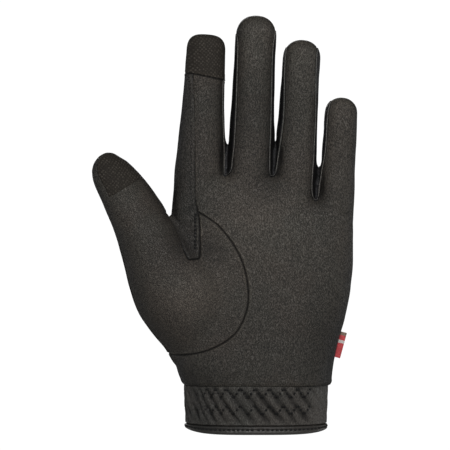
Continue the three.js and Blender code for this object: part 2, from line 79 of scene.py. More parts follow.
PALM_EDGE = CUFF_TOP - 0.1
FAR = 400.0

# Palm: rise as a share of its length; left, right of its width; front, back of its depth
PALM_ROWS = [
    (-0.05, -0.385, 0.396, 0.66, 0.66),
    (0.00, -0.402, 0.412, 0.68, 0.68),
    (0.05, -0.43, 0.42, 0.68, 0.67),
    (0.11, -0.452, 0.431, 0.66, 0.64),
    (0.20, -0.453, 0.452, 0.61, 0.59),
    (0.33, -0.455, 0.493, 0.55, 0.54),
    (0.47, -0.46, 0.523, 0.50, 0.51),
    (0.64, -0.468, 0.535, 0.46, 0.49),
    (0.82, -0.468, 0.535, 0.41, 0.45),
    (0.90, -0.462, 0.534, 0.37, 0.41),
    (0.955, -0.452, 0.53, 0.31, 0.34),
    (0.99, -0.44, 0.52, 0.20, 0.23),
    (1.00, -0.43, 0.51, 0.10, 0.12),
]
PALM_SQUARENESS = 2.7

# Fingers: place across the palm, drop, lean, length, width, flare of the root, squareness of the tip
FINGERS = {
    "index": (-0.311, 0, 2.9, 71.4, 21.2, 0.25, 3.0),
    "middle": (-0.0365, 0, 2.6, 80.9, 21.6, 0.13, 2.15),
    "ring": (0.2165, 0, 3.1, 68.4, 19.6, 0.13, 2.15),
    "little": (0.4385, 1, 3.9, 51.9, 17.2, 0.13, 2.15),
}
# Finger shaft: along as a share of the length; flare; width; depth
SHAFT_ROWS = [
    (-0.34, 0.90, 1.0, 1.05),
    (0.00, 1.00, 1.0, 1.12),
    (0.18, 0.62, 1.0, 1.06),
    (0.34, 0.36, 1.0, 1.02),
    (0.52, 0.10, 1.0, 0.99),
    (0.72, 0.00, 0.975, 0.95),
]
TIP_WIDTH = 0.945
TIP_DEPTH = 0.89
FINGER_SQUARENESS = 2.35

# Thumb: across, rise, turn, width, front, back
THUMB_ROWS = [
    (-0.217, 0.236, 45, 1.76, 1.25, 0.95),
    (-0.261, 0.264, 45, 2.10, 1.60, 1.20),
    (-0.326, 0.353, 41, 2.10, 1.90, 1.35),
    (-0.393, 0.431, 32, 2.08, 2.02, 1.40),
    (-0.475, 0.541, 21, 1.82, 1.90, 1.38),
    (-0.563, 0.673, 17, 1.47, 1.60, 1.25),
    (-0.649, 0.797, 24, 1.17, 1.30, 1.15),
    (-0.734, 0.923, 31, 1.00, 1.06, 1.00),
    (-0.799, 1.007, 31, 0.83, 0.90, 0.86),
    (-0.833, 1.053, 31, 0.60, 0.62, 0.60),
    (-0.843, 1.077, 31, 0.42, 0.43, 0.42),
    (-0.849, 1.091, 31, 0.16, 0.18, 0.18),
]
THUMB_SQUARENESS = 2.1
# Middle of the thumb's outer joint, the way from it to the tip, and side seams there
THUMB_JOINT = (-67.5, 123.5)
THUMB_WAY = (0.51, 0.86)
INNER_THUMB_SEAM = 0.6
CAP_SEAM_DEPTHS = [(-2, 5, 11, 16, 20, 24), (8.4, 8.0, 7.2, 5.4, 3.4, 1.2)]

# Seams seen from the front: shares of the palm's width and length
TONGUE_SEAM = [
    (-0.338, 1.9), (-0.352, 1.482), (-0.3435, 1.359), (-0.338, 1.216), (-0.338, 1.049), (-0.335, 0.882),
    (-0.315, 0.784), (-0.311, 0.692), (-0.309, 0.63), (-0.311, 0.61), (-0.32, 0.601), (-0.362, 0.598),
    (-0.373, 0.602), (-0.396, 0.64), (-0.412, 0.68), (-0.443, 0.749), (-0.483, 0.806), (-0.513, 0.9),
    (-0.54, 1.0),
]
STRIP_BACK_SEAM = [
    (-0.338, 1.9), (-0.352, 1.482), (-0.352, 1.2), (-0.362, 1.04), (-0.386, 0.92), (-0.42, 0.83),
    (-0.45, 0.79), (-0.483, 0.806), (-0.513, 0.9), (-0.54, 1.0),
]
OVAL_SEAM = [
    (-0.33, 0.826), (-0.305, 0.813), (-0.255, 0.787), (-0.2, 0.749), (-0.145, 0.692), (-0.102, 0.632),
    (-0.067, 0.561), (-0.045, 0.463), (-0.05, 0.367), (-0.095, 0.272), (-0.161, 0.215), (-0.252, 0.174),
    (-0.322, 0.156), (-0.43, 0.142), (-0.6, 0.142),
]
THUMB_BACK_SEAM = [
    (-0.45, 0.79), (-0.4, 0.66), (-0.385, 0.5), (-0.395, 0.34), (-0.43, 0.21), (-0.5, 0.142), (-0.6, 0.142),
]
THUMB_CAP_SEAM = [(-0.58, 1.04), (-0.64, 0.982), (-0.73, 0.93), (-0.81, 0.892), (-0.95, 0.86)]
# Front edges of the side strips, in millimetres across and up
STRIP_FRONT_SEAMS = {
    ("index", "middle"): [
        (-16.0, 190.2), (-16.9, 178.0), (-17.0, 164.7), (-16.7, 154.5), (-16.3, 144.3), (-16.3, 134.1),
        (-16.2, 131.1), (-14.3, 131.8), (-12.5, 134.1), (-12.0, 139.2), (-11.1, 146.4), (-10.4, 159.6),
        (-10.0, 168.8), (-9.5, 185.1), (-9.2, 197.9), (-9.7, 202.0), (-11.2, 205.5),
    ],
    ("middle", "ring"): [
        (9.9, 205.5), (8.7, 198.4), (8.1, 190.2), (7.8, 174.9), (7.4, 159.6), (7.2, 152.0), (6.9, 144.3),
        (6.8, 136.7), (7.0, 131.3), (8.4, 130.8), (9.8, 131.8), (10.5, 135.2), (11.3, 140.8), (12.1, 145.9),
        (13.3, 154.5), (14.1, 162.7), (14.4, 174.9), (14.7, 188.2), (15.4, 195.3), (16.3, 199.9),
    ],
    ("ring", "little"): [
        (31.4, 198.4), (30.7, 192.3), (30.3, 185.1), (30.2, 174.9), (30.1, 159.6), (29.4, 146.9),
        (29.1, 139.2), (28.6, 134.1), (28.3, 129.0), (28.2, 123.9), (28.6, 120.9), (29.3, 119.1),
        (30.3, 118.3), (31.3, 118.9), (31.6, 119.9), (32.0, 122.9), (32.4, 126.5), (33.0, 130.1),
        (33.5, 134.1), (34.4, 138.2), (35.2, 143.3), (35.7, 149.4), (36.2, 159.6), (36.9, 164.7),
        (38.2, 169.3), (39.3, 172.4),
    ],
}
# How far back a side strip reaches: finger widths below the tip, share of the full reach
STRIP_TAPER = [(0.55, 0.06), (0.95, 0.5), (1.5, 0.85), (2.1, 1.0), (9.0, 1.0)]
# Where the gaps between the fingers end: place across, height as joined, how much lower they end
GAP_ENDS = [(-14.3, 150.3, 4.3), (9.9, 150.4, 2.8), (32.0, 139.2, 5.0)]


# Curves and small mathematics

def smooth_step(value, low, high):
    t = np.clip((value - low) / (high - low), 0, 1)
    return t * t * (3 - 2 * t)


def between(value, low, lower, upper, high):
    """1 from lower to upper, running out softly to 0 at low and at high."""
    return smooth_step(value, low, lower) * (1 - smooth_step(value, upper, high))


def patch(points, middle_x, middle_z, reach_x, reach_z):
    """1 at a place in the plane of the palm, running out softly round it."""
    x, _, z = points.T
    return np.exp(-((x - middle_x) / reach_x) ** 2 - ((z - middle_z) / reach_z) ** 2)


def power_curve(value, squareness):
    """A sine or cosine drawn out towards the corners of a rounded square."""
    return np.sign(value) * np.abs(value) ** (2 / squareness)


def monotone_curve(at, values, new_at):
    """Columns of a table at new places, on smooth curves through its rows that never overshoot."""
    at, values, new_at = np.asarray(at, float), np.asarray(values, float), np.asarray(new_at, float)
    slope = np.diff(values, axis=0) / np.diff(at)[:, None]
    before, after = slope[:-1], slope[1:]
    total = np.where(before * after > 0, before + after, 1)
    tangent = np.empty_like(values)
    tangent[1:-1] = np.where(before * after > 0, 2 * before * after / total, 0)
    tangent[0], tangent[-1] = slope[0], slope[-1]
    i = np.clip(np.searchsorted(at, new_at, side="right") - 1, 0, len(at) - 2)
    span = (at[i + 1] - at[i])[:, None]
    t = np.clip((new_at - at[i])[:, None] / span, 0, 1)
    return ((1 + 2 * t) * (1 - t) ** 2 * values[i] + t * (1 - t) ** 2 * span * tangent[i]
            + t * t * (3 - 2 * t) * values[i + 1] - t * t * (1 - t) * span * tangent[i + 1])


def through_points(points, steps):
    """A smooth curve through points, with a number of steps between each two of them."""
    p = np.asarray(points, float)
    p = np.vstack([2 * p[0] - p[1], p, 2 * p[-1] - p[-2]])
    t = (np.arange(steps) / steps)[:, None]
    parts = []
    for a, b, c, d in zip(p[:-3], p[1:-2], p[2:-1], p[3:]):
        square, cube = 2 * a - 5 * b + 4 * c - d, 3 * b - a - 3 * c + d
        parts.append(0.5 * (2 * b + (c - a) * t + square * t * t + cube * t ** 3))
    return np.vstack(parts + [p[-2:-1]])


def run_along(path):
    """Length along a path from its start to each of its points."""
    return np.concatenate([[0], np.cumsum(np.linalg.norm(np.diff(path, axis=0), axis=1))])


def at_places(places, run, path):
    """Points on a path, or values given along it, at new lengths."""
    return np.stack([np.interp(places, run, column) for column in path.T], axis=-1)


def evenly(path, spacing):
    """The same path with points at an even spacing."""
    path = np.asarray(path, float)
    run = run_along(path)
    return at_places(np.linspace(0, run[-1], max(2, int(round(run[-1] / spacing)) + 1)), run, path)


def unevenness(points, size, seed):
    """Smooth random values from -1 to 1 that change over about one size in space."""
    lattice = np.random.default_rng(seed).uniform(-1, 1, (32, 32, 32))
    q = points / size + 100
    i = np.floor(q).astype(int)
    t = q - i
    t = t * t * (3 - 2 * t)
    value = np.zeros(len(points))
    for corner in range(8):
        bit = np.array([corner & 1, corner >> 1 & 1, corner >> 2 & 1])
        weight = np.prod(np.where(bit, t, 1 - t), axis=1)
        j = (i + bit) % 32
        value += weight * lattice[j[:, 0], j[:, 1], j[:, 2]]
    return value


def seam_line(seam):
    """A seam's points in millimetres, as a smooth line."""
    knots = np.array([(across * PALM_WIDTH, CUFF_TOP + rise * PALM_LENGTH) for across, rise in seam])
    return through_points(knots, 3)


def depth_inside(x, z, outline):
    """How far points lie inside a closed outline in the plane of the palm; negative outside."""
    nearest = np.full(len(x), FAR)
    crossings = np.zeros(len(x), bool)
    for (ax, az), (bx, bz) in zip(outline, np.roll(outline, -1, axis=0)):
        dx, dz = bx - ax, bz - az
        length = dx * dx + dz * dz
        if length == 0:
            continue
        t = np.clip(((x - ax) * dx + (z - az) * dz) / length, 0, 1)
        nearest = np.minimum(nearest, np.hypot(x - ax - t * dx, z - az - t * dz))
        if az != bz:
            crossings ^= ((az > z) != (bz > z)) & (x < ax + (z - az) * dx / (bz - az))
    return np.where(crossings, nearest, -nearest)


# Forms of the flat hand

def oval_ring(centre, turn, half_width, front, back, squareness, sides):
    """A ring round the hand or a finger, flat or turned in the plane of the palm."""
    angle = np.arange(sides) * 2 * math.pi / sides
    c, s = np.cos(angle), np.sin(angle)
    u = half_width * power_curve(c, squareness)
    v = np.where(s < 0, front, back) * power_curve(s, squareness)
    lean = math.radians(turn)
    return np.stack([centre[0] + u * math.cos(lean), v, centre[1] + u * math.sin(lean)], axis=1)


def knuckle_drop(x):
    return KNUCKLE_DROP * smooth_step(x, 0.08 * PALM_WIDTH, 0.3 * PALM_WIDTH)


def palm_rings():
    rows = np.array(PALM_ROWS)
    rises = np.concatenate([np.linspace(-0.05, 0.9, 90), np.linspace(0.905, 1.0, 40)])
    rings = []
    for rise, (left, right, front, back) in zip(rises, monotone_curve(rows[:, 0], rows[:, 1:], rises)):
        centre = ((left + right) / 2 * PALM_WIDTH, CUFF_TOP + 0.15 + rise * PALM_LENGTH)
        ring = oval_ring(centre, 0, (right - left) / 2 * PALM_WIDTH, front * PALM_DEPTH, back * PALM_DEPTH,
                         PALM_SQUARENESS, 160)
        ring[:, 2] -= knuckle_drop(ring[:, 0]) * max(rise, 0) ** 3
        rings.append(ring)
    return np.array(rings)


def on_finger(finger, distance):
    """Place on a finger's middle line, a distance from its crotch."""
    across, drop, lean = finger[:3]
    lean = math.radians(lean)
    base_x, base_z = across * PALM_WIDTH, CROTCH - drop * KNUCKLE_DROP
    return base_x + distance * math.sin(lean), base_z + distance * math.cos(lean)


def finger_rings(finger):
    _, _, lean, length, width, flare, tip_squareness = finger
    half_width, half_depth = width / 2, width / 2 * FINGER_DEPTH_SHARE
    tip_start = length - half_width * TIP_WIDTH
    rows = np.array(SHAFT_ROWS + [(tip_start / length, 0, TIP_WIDTH, TIP_DEPTH)])
    along = np.linspace(rows[0, 0], rows[-1, 0], 80)
    rings = []

    def add_ring(distance, wide, deep):
        rings.append(oval_ring(on_finger(finger, distance), -lean, wide, deep, deep, FINGER_SQUARENESS, 72))

    for share, (spread, wide, deep) in zip(along, monotone_curve(rows[:, 0], rows[:, 1:], along)):
        add_ring(share * length, half_width * wide * (1 + flare * spread), half_depth * deep)
    for angle in np.linspace(0, math.pi / 2, 26)[1:-1]:
        out, shrink = math.sin(angle) ** (2 / tip_squareness), math.cos(angle) ** (2 / tip_squareness)
        distance = tip_start + half_width * TIP_WIDTH * out
        add_ring(distance, half_width * TIP_WIDTH * shrink, half_depth * TIP_DEPTH * shrink)
    return np.array(rings)


def thumb_rings():
    rows = np.array(THUMB_ROWS, float)
    rows[:, 0] *= PALM_WIDTH
    rows[:, 1] = CUFF_TOP + rows[:, 1] * PALM_LENGTH
    run = run_along(rows[:, :2])
    rings = []
    for x, z, turn, width, front, back in monotone_curve(run, rows, np.linspace(0, run[-1], 120)):
        rings.append(oval_ring((x, z), turn, width * THUMB_WIDTH / 2, front * THUMB_DEPTH / 2,
                               back * THUMB_DEPTH / 2, THUMB_SQUARENESS, 96))
    return np.array(rings)


def ring_faces(low, high, sides):
    """Faces between two rings, given the number of each ring's first point."""
    s = np.arange(sides)
    following = (s + 1) % sides
    return [np.stack([low + s, low + following, high + following], 1),
            np.stack([low + s, high + following, high + s], 1)]


def closed_loft(rings):
    """A closed skin through a stack of rings, with a fan at each end."""
    count, sides, _ = rings.shape
    points = np.vstack([rings.reshape(-1, 3), rings[0].mean(0), rings[-1].mean(0)])
    faces = []
    for r in range(count - 1):
        faces += ring_faces(r * sides, (r + 1) * sides, sides)
    s = np.arange(sides)
    following = (s + 1) % sides
    last = (count - 1) * sides
    bottom, top = np.full(sides, count * sides), np.full(sides, count * sides + 1)
    faces.append(np.stack([bottom, following, s], 1))
    faces.append(np.stack([top, last + s, last + following], 1))
    return points, np.vstack(faces)


def merged(parts):
    """Several sets of points and faces as one."""
    offset, points, faces = 0, [], []
    for part_points, part_faces in parts:
        points.append(part_points)
        faces.append(part_faces + offset)
        offset += len(part_points)
    return np.vstack(points), np.vstack(faces)


def plain_mesh(name, points, faces):
    """A mesh from triangles, in the units of its points."""
    mesh = bpy.data.meshes.new(name)
    mesh.vertices.add(len(points))
    mesh.vertices.foreach_set("co", np.asarray(points, np.float32).ravel())
    mesh.loops.add(faces.size)
    mesh.loops.foreach_set("vertex_index", faces.astype(np.int32).ravel())
    mesh.polygons.add(len(faces))
    mesh.polygons.foreach_set("loop_start", np.arange(0, faces.size, 3, dtype=np.int32))
    mesh.update(calc_edges=True)
    return mesh


def triangles_of(mesh):
    mesh.calc_loop_triangles()
    points = np.empty(len(mesh.vertices) * 3)
    mesh.vertices.foreach_get("co", points)
    faces = np.empty(len(mesh.loop_triangles) * 3, dtype=np.int32)
    mesh.loop_triangles.foreach_get("vertices", faces)
    return points.reshape(-1, 3), faces.reshape(-1, 3).astype(np.int64)


def face_sides(faces):
    """The three sides of every face, each in the direction that the face goes round."""
    return np.vstack([faces[:, [0, 1]], faces[:, [1, 2]], faces[:, [2, 0]]])


def edges_of(faces):
    """Each edge of the faces once, and how many faces meet at it."""
    return np.unique(np.sort(face_sides(faces), axis=1), axis=0, return_counts=True)


def rim_sides(faces, size):
    """The sides that only one face has, in order round the rim."""
    sides = face_sides(faces)
    key, back_key = sides[:, 0] * size + sides[:, 1], sides[:, 1] * size + sides[:, 0]
    return sides[~np.isin(key, back_key)]


def point_normals(points, faces):
    a, b, c = points[faces[:, 0]], points[faces[:, 1]], points[faces[:, 2]]
    face_normals = np.cross(b - a, c - a)
    normals = np.zeros_like(points)
    for k in range(3):
        for axis in range(3):
            normals[:, axis] += np.bincount(faces[:, k], face_normals[:, axis], len(points))
    return normals / np.maximum(np.linalg.norm(normals, axis=1), 1e-12)[:, None]


def smoothed(points, faces, rounds, strength, back_step=0.0, share=None):
    """Points moved towards the mean of their neighbours. A back step keeps the form from shrinking."""
    edges, _ = edges_of(faces)
    degree = np.bincount(edges.ravel(), minlength=len(points))[:, None]
    share = 1.0 if share is None else share[:, None]
    for _ in range(rounds):
        for step in (strength, back_step):
            if not step:
                continue
            total = np.empty_like(points)
            for axis in range(3):
                total[:, axis] = (np.bincount(edges[:, 0], points[edges[:, 1], axis], len(points))
                                  + np.bincount(edges[:, 1], points[edges[:, 0], axis], len(points)))
            points = points + share * step * (total / degree - points)
    return points


def joined_hand(voxel):
    """Palm, fingers and thumb as one skin, with soft hollows where they meet."""
    lofts = [closed_loft(palm_rings()), closed_loft(thumb_rings())]
    lofts += [closed_loft(finger_rings(finger)) for finger in FINGERS.values()]
    raw = bpy.data.objects.new("hand_form", plain_mesh("hand_form", *merged(lofts)))
    scene.collection.objects.link(raw)
    join = raw.modifiers.new("join", "REMESH")
    join.mode = "VOXEL"
    join.voxel_size = voxel
    view = bpy.context.evaluated_depsgraph_get()
    mesh = bpy.data.meshes.new_from_object(raw.evaluated_get(view))
    points, faces = triangles_of(mesh)
    bpy.data.meshes.remove(mesh)
    form = raw.data
    bpy.data.objects.remove(raw)
    bpy.data.meshes.remove(form)
    points = smoothed(points, faces, 14, 0.5, -0.52)
    points = smoothed(points, faces, 40, 0.5, 0.0, junction_share(points))
    return deepened(points), faces


def deepened(points):
    """The gaps between the fingers drawn down into the fine points that the joined form rounds off."""
    x, y, z = points.T
    drop = np.zeros(len(points))
    for gap_x, end, depth in GAP_ENDS:
        drop += depth * np.exp(-((x - gap_x) / 1.4) ** 2 - np.abs((z - end) / 7.0) ** 3)
    return np.stack([x, y, z - drop], axis=1)


def junction_share(points):
    """Where fingers and thumb run into the palm: 1 at the middle of the junction, 0 away from it."""
    x, y, z = points.T
    line = CROTCH - knuckle_drop(x)
    fingers = between(z, line - 26, line - 10, line - 3, line + 3)
    from_thumb_root = np.hypot(x + 34, z - CUFF_TOP - 0.42 * PALM_LENGTH)
    thumb = 1 - smooth_step(from_thumb_root, 22, 40)
    return np.maximum(fingers, thumb) * smooth_step(np.abs(y), 6, 9)


# The skin and its cuts

class Skin:
    """A sheet of leather: points on the flat hand, outward normals, and triangles."""

    def __init__(self, points, normals, faces):
        self.points, self.normals, self.faces = points, normals, faces

    def part(self, chosen):
        used, faces = np.unique(self.faces[chosen], return_inverse=True)
        return Skin(self.points[used], self.normals[used], faces.reshape(-1, 3))


# Distances from a seam at which rows of points lie along it, for its rolled edges
SEAM_ROWS = (-1.3, -0.75, -0.35, 0.35, 0.75, 1.3)


def scored(skin, level_field):
    """Cuts every face that the field's zero line crosses: the skin, its field and each face's side."""
    positive = level_field > 0
    side = positive[skin.faces]
    count = side.sum(1)
    whole = (count == 0) | (count == 3)
    crossed, crossed_side = skin.faces[~whole], side[~whole]
    if not len(crossed):
        return skin, level_field, positive[skin.faces[:, 0]]
    odd = np.where(count[~whole] == 1, crossed_side.argmax(1), (~crossed_side).argmax(1))
    row = np.arange(len(crossed))
    a, b, c = crossed[row, odd], crossed[row, (odd + 1) % 3], crossed[row, (odd + 2) % 3]
    size = len(skin.points)
    edge_keys = [np.minimum(a, other) * size + np.maximum(a, other) for other in (b, c)]
    keys, place = np.unique(np.concatenate(edge_keys), return_inverse=True)
    low, high = keys // size, keys % size
    t = (level_field[low] / (level_field[low] - level_field[high]))[:, None]
    points = np.vstack([skin.points, skin.points[low] * (1 - t) + skin.points[high] * t])
    new_normals = skin.normals[low] * (1 - t) + skin.normals[high] * t
    new_normals /= np.linalg.norm(new_normals, axis=1)[:, None]
    ab, ac = size + place[:len(a)], size + place[len(a):]
    pieces = [np.stack(corners, 1) for corners in ((a, ab, ac), (ab, b, c), (ab, c, ac))]
    faces = np.vstack([skin.faces[whole]] + pieces)
    a_side = positive[a]
    sides = np.concatenate([positive[skin.faces[whole, 0]], a_side, ~a_side, ~a_side])
    field = np.concatenate([level_field, np.zeros(len(keys))])
    return Skin(points, np.vstack([skin.normals, new_normals]), faces), field, sides


def carve(skin, region, levels=SEAM_ROWS):
    """Parts a skin into what lies inside a region and outside, with rows of faces along the seam."""
    field = region(skin.points)
    for level in levels:
        skin, field, _ = scored(skin, field - level)
        field = field + level
    skin, _, inside = scored(skin, field)
    return skin.part(inside), skin.part(~inside)


def index_cap_region(points):
    x, y, z = points.T
    tip_x, tip_z = on_finger(FINGERS["index"], FINGERS["index"][3])
    middle_x, _ = on_finger(FINGERS["middle"], FINGERS["index"][3])
    seam = tip_z - INDEX_CAP_LENGTH - FINGERS["index"][4] / 2 + INDEX_CAP_SLANT * (x - tip_x)
    return np.minimum.reduce([z - seam, CAP_WRAP - y, (tip_x + middle_x) / 2 - x])


def side_strip_region(first, second):
    """Between two fingers: its drawn front seam, and a back seam that tapers to the fingertips."""
    first_base, second_base = on_finger(FINGERS[first], 0)[0], on_finger(FINGERS[second], 0)[0]
    low = CROTCH - knuckle_drop((first_base + second_base) / 2) - 3.6
    taper = np.array(STRIP_TAPER)
    front_outline = through_points(STRIP_FRONT_SEAMS[first, second], 3)

    def reach(finger, z):
        below = (on_finger(finger, finger[3])[1] - z) / finger[4]
        return np.where(below < taper[0, 0], 0, monotone_curve(taper[:, 0], taper[:, 1:], below)[:, 0])

    def middle_line(finger, z):
        x, base = on_finger(finger, 0)
        return x + (z - base) * math.tan(math.radians(finger[2]))

    def region(points):
        x, y, z = points.T
        first_x, second_x = middle_line(FINGERS[first], z), middle_line(FINGERS[second], z)
        middle = (first_x + second_x) / 2
        towards = smooth_step(x, middle - 1.5, middle + 1.5)
        share = reach(FINGERS[first], z) * (1 - towards) + reach(FINGERS[second], z) * towards
        back = np.minimum.reduce([share * SIDE_STRIP_BACK - y, z - low, x - first_x, second_x - x])
        return front_and_back(points, depth_inside(x, z, front_outline), back)

    return region


def along_thumb(points):
    """Places from the middle of the thumb's outer joint: across to the inner side, and along to the tip."""
    x, z = points[:, 0] - THUMB_JOINT[0], points[:, 2] - THUMB_JOINT[1]
    return x * THUMB_WAY[1] + z * THUMB_WAY[0], z * THUMB_WAY[1] - x * THUMB_WAY[0]


def thumb_seam_depth(points):
    """Depth of the thumb's side seam: forward on the outer side, half way round at tip and inner side."""
    across, along = along_thumb(points)
    inner = np.maximum(smooth_step(across, 0, 6), smooth_step(along, 12, 19))
    return THUMB_SEAM - (THUMB_SEAM - INNER_THUMB_SEAM) * inner


def cap_seam_depth(points):
    """Depth of the fabric cap's side seam: it runs across the thumb's outer side to the tip."""
    across, along = along_thumb(points)
    outer = np.interp(along, *CAP_SEAM_DEPTHS)
    return outer + (INNER_THUMB_SEAM - outer) * smooth_step(across, -1, 6)


def front_and_back(points, front, back):
    """One region on the palm's side of the hand, and another behind it."""
    weight = smooth_step(points[:, 1], -1.0, 1.0)
    return front * (1 - weight) + back * weight


def outline_region(line, *corners):
    outline = np.vstack([line, np.array(corners)])
    return lambda points: depth_inside(points[:, 0], points[:, 2], outline)


def glove_panels(hand):
    """Cuts the hand's skin into the pieces that are sewn together."""
    seams = (TONGUE_SEAM, STRIP_BACK_SEAM, OVAL_SEAM, THUMB_BACK_SEAM, THUMB_CAP_SEAM)
    tongue, strip_back, oval, thumb_back, thumb_cap = [seam_line(seam) for seam in seams]
    strip_front = outline_region(tongue, (tongue[-1][0], FAR), (tongue[0][0], FAR))
    strip_rear = outline_region(strip_back, (strip_back[-1][0], FAR), (strip_back[0][0], FAR))
    crotch = [(-FAR, FAR), (tongue[-1][0], FAR), tuple(tongue[-1]), tuple(tongue[-7])]
    thumb_front_outline = outline_region(oval, (-FAR, oval[-1][1]), *crotch)
    thumb_back_outline = outline_region(thumb_back, (-FAR, thumb_back[-1][1]), *crotch)
    cap_outline = outline_region(thumb_cap, (-FAR, thumb_cap[-1][1]), (-FAR, FAR), (thumb_cap[0][0], FAR))

    def side_region(points):
        return front_and_back(points, strip_front(points), strip_rear(points))

    def thumb_front_region(points):
        return np.minimum(thumb_front_outline(points), -thumb_seam_depth(points) - points[:, 1])

    def thumb_cap_region(points):
        return np.minimum(cap_outline(points), -cap_seam_depth(points) - points[:, 1])

    _, hand = carve(hand, lambda points: PALM_EDGE - points[:, 2], ())
    panels = {}
    panels["index_touch_cap"], rest = carve(hand, index_cap_region)
    names = list(FINGERS)
    for first, second in zip(names, names[1:]):
        region = side_strip_region(first, second)
        panels[f"fourchette_{first}_{second}"], rest = carve(rest, region)
    panels["index_side_panel"], rest = carve(rest, side_region)
    panels["thumb_touch_cap"], rest = carve(rest, thumb_cap_region)
    panels["thumb_front_panel"], rest = carve(rest, thumb_front_region)
    panels["thumb_back_panel"], rest = carve(rest, thumb_back_outline)
    panels["palm_panel"], panels["back_panel"] = carve(rest, lambda points: -points[:, 1])
    return panels


def relaxed(points):
    """The straight hand bent into its relaxed curve: fingertips and the palm's edges come forward."""
    x, y, z = points.T
    beyond = np.maximum(z - CROTCH, 0) / FINGERS["middle"][3]
    aside = np.abs(x) / (PALM_WIDTH / 2)
    upward = smooth_step(z, CUFF_TOP, CUFF_TOP + PALM_LENGTH / 2)
    return np.stack([x, y - FINGER_CURL * beyond ** 2 - PALM_CUP * upward * aside ** 2.4, z], axis=1)


# Folds and swellings that the hand gives the leather

# Gaps between the fingers: place across, height, how far the side strip is filled out there
GAP_FILLS = [(-14.8, 146, 0.1), (10.0, 148, 0.4), (31.3, 134, -0.3)]
THUMB_ANGLE = (-44.5, 112.5)


def facing(normals, way):
    """1 where the skin looks to the front (way -1) or to the back (way 1)."""
    return smooth_step(way * normals[:, 1], 0.1, 0.7)


def tongue_wrinkles(points):
    """Stress wrinkles from the tongue across the ball of the thumb, and the dent that the tongue pulls in."""
    x, _, z = points.T
    along = (x + 26) * 0.45 + (z - 104) * 0.89 + 0.7 * unevenness(points, 9.0, 5)
    ripple = np.cos(2 * math.pi * along / 2.9)
    dent = np.exp(-(np.hypot(x + 26, z - 105) / 7.0) ** 2)
    return 0.26 * ripple * patch(points, -22, 102.5, 6.5, 5.0) - 0.3 * dent


def gap_hollows(points, normals):
    """The side strips fill the narrow ends of the gaps, and the palm lies deep in front of the crotches."""
    x, y, z = points.T
    crotch_floor = smooth_step(normals[:, 2], 0.45, 0.85)
    height = np.zeros(len(points))
    for gap_x, gap_z, fill in GAP_FILLS:
        beside = np.exp(-((x - gap_x) / 3.0) ** 4)
        end = np.exp(-((z - gap_z - 4.5) / 4.5) ** 2) * np.exp(-(y / 7) ** 4)
        height += fill * (1 - crotch_floor) * beside * end
        height -= 0.7 * beside * facing(normals, -1) * between(z, gap_z - 15, gap_z - 10, gap_z - 5, gap_z)
    return height - 2.4 * crotch_floor * patch(points, *THUMB_ANGLE, 2.6, 5.0)


def palm_crease(points):
    """A shallow crease from the little finger's crotch to the edge of the palm."""
    x, _, z = points.T
    line = 116.5 - 0.32 * (x - 31) - 1.5 * np.sin((x - 31) / 7)
    return -0.28 * np.exp(-((z - line) / 1.6) ** 2) * smooth_step(x, 31, 37)


def knuckles_and_tendons(points):
    x, _, z = points.T
    height = np.zeros(len(points))
    for across, drop, *_ in FINGERS.values():
        knuckle_x, knuckle_z = across * PALM_WIDTH - 0.6, CROTCH - drop * KNUCKLE_DROP * 0.9 - 17
        height += 0.9 * patch(points, knuckle_x, knuckle_z, 6.5, 7.5)
        wrist_x = 0.3 * PALM_WIDTH * across
        tendon_x = knuckle_x + (wrist_x - knuckle_x) * np.clip((knuckle_z - z) / 95, 0, 1)
        run = between(z, CUFF_TOP + 16, CUFF_TOP + 45, knuckle_z - 14, knuckle_z)
        height += 0.35 * np.exp(-((x - tendon_x) / 3.2) ** 2) * run
    return height


def wrist_puckers(points):
    """Soft puckers where the wristband draws the palm in."""
    x, y, z = points.T
    round_wrist = np.arctan2(y, x) * 30 + 1.5 * unevenness(points, 12.0, 8)
    return 0.22 * np.exp(-(z - CUFF_TOP) / 7.0) * np.cos(2 * math.pi * round_wrist / 7.2)


def hand_relief(points, normals):
    """How far each point stands out from the plain form."""
    x, _, z = points.T
    height = 0.28 * unevenness(points, 17.0, 3) + 0.1 * unevenness(points, 7.0, 4)
    height += facing(normals, -1) * (tongue_wrinkles(points) + palm_crease(points))
    height += facing(normals, 1) * knuckles_and_tendons(points)
    heel_of_thumb = np.exp(-((z - 40) / 6.5) ** 2) * smooth_step(-x, 34, 42)
    return height - 1.1 * heel_of_thumb + gap_hollows(points, normals) + wrist_puckers(points)


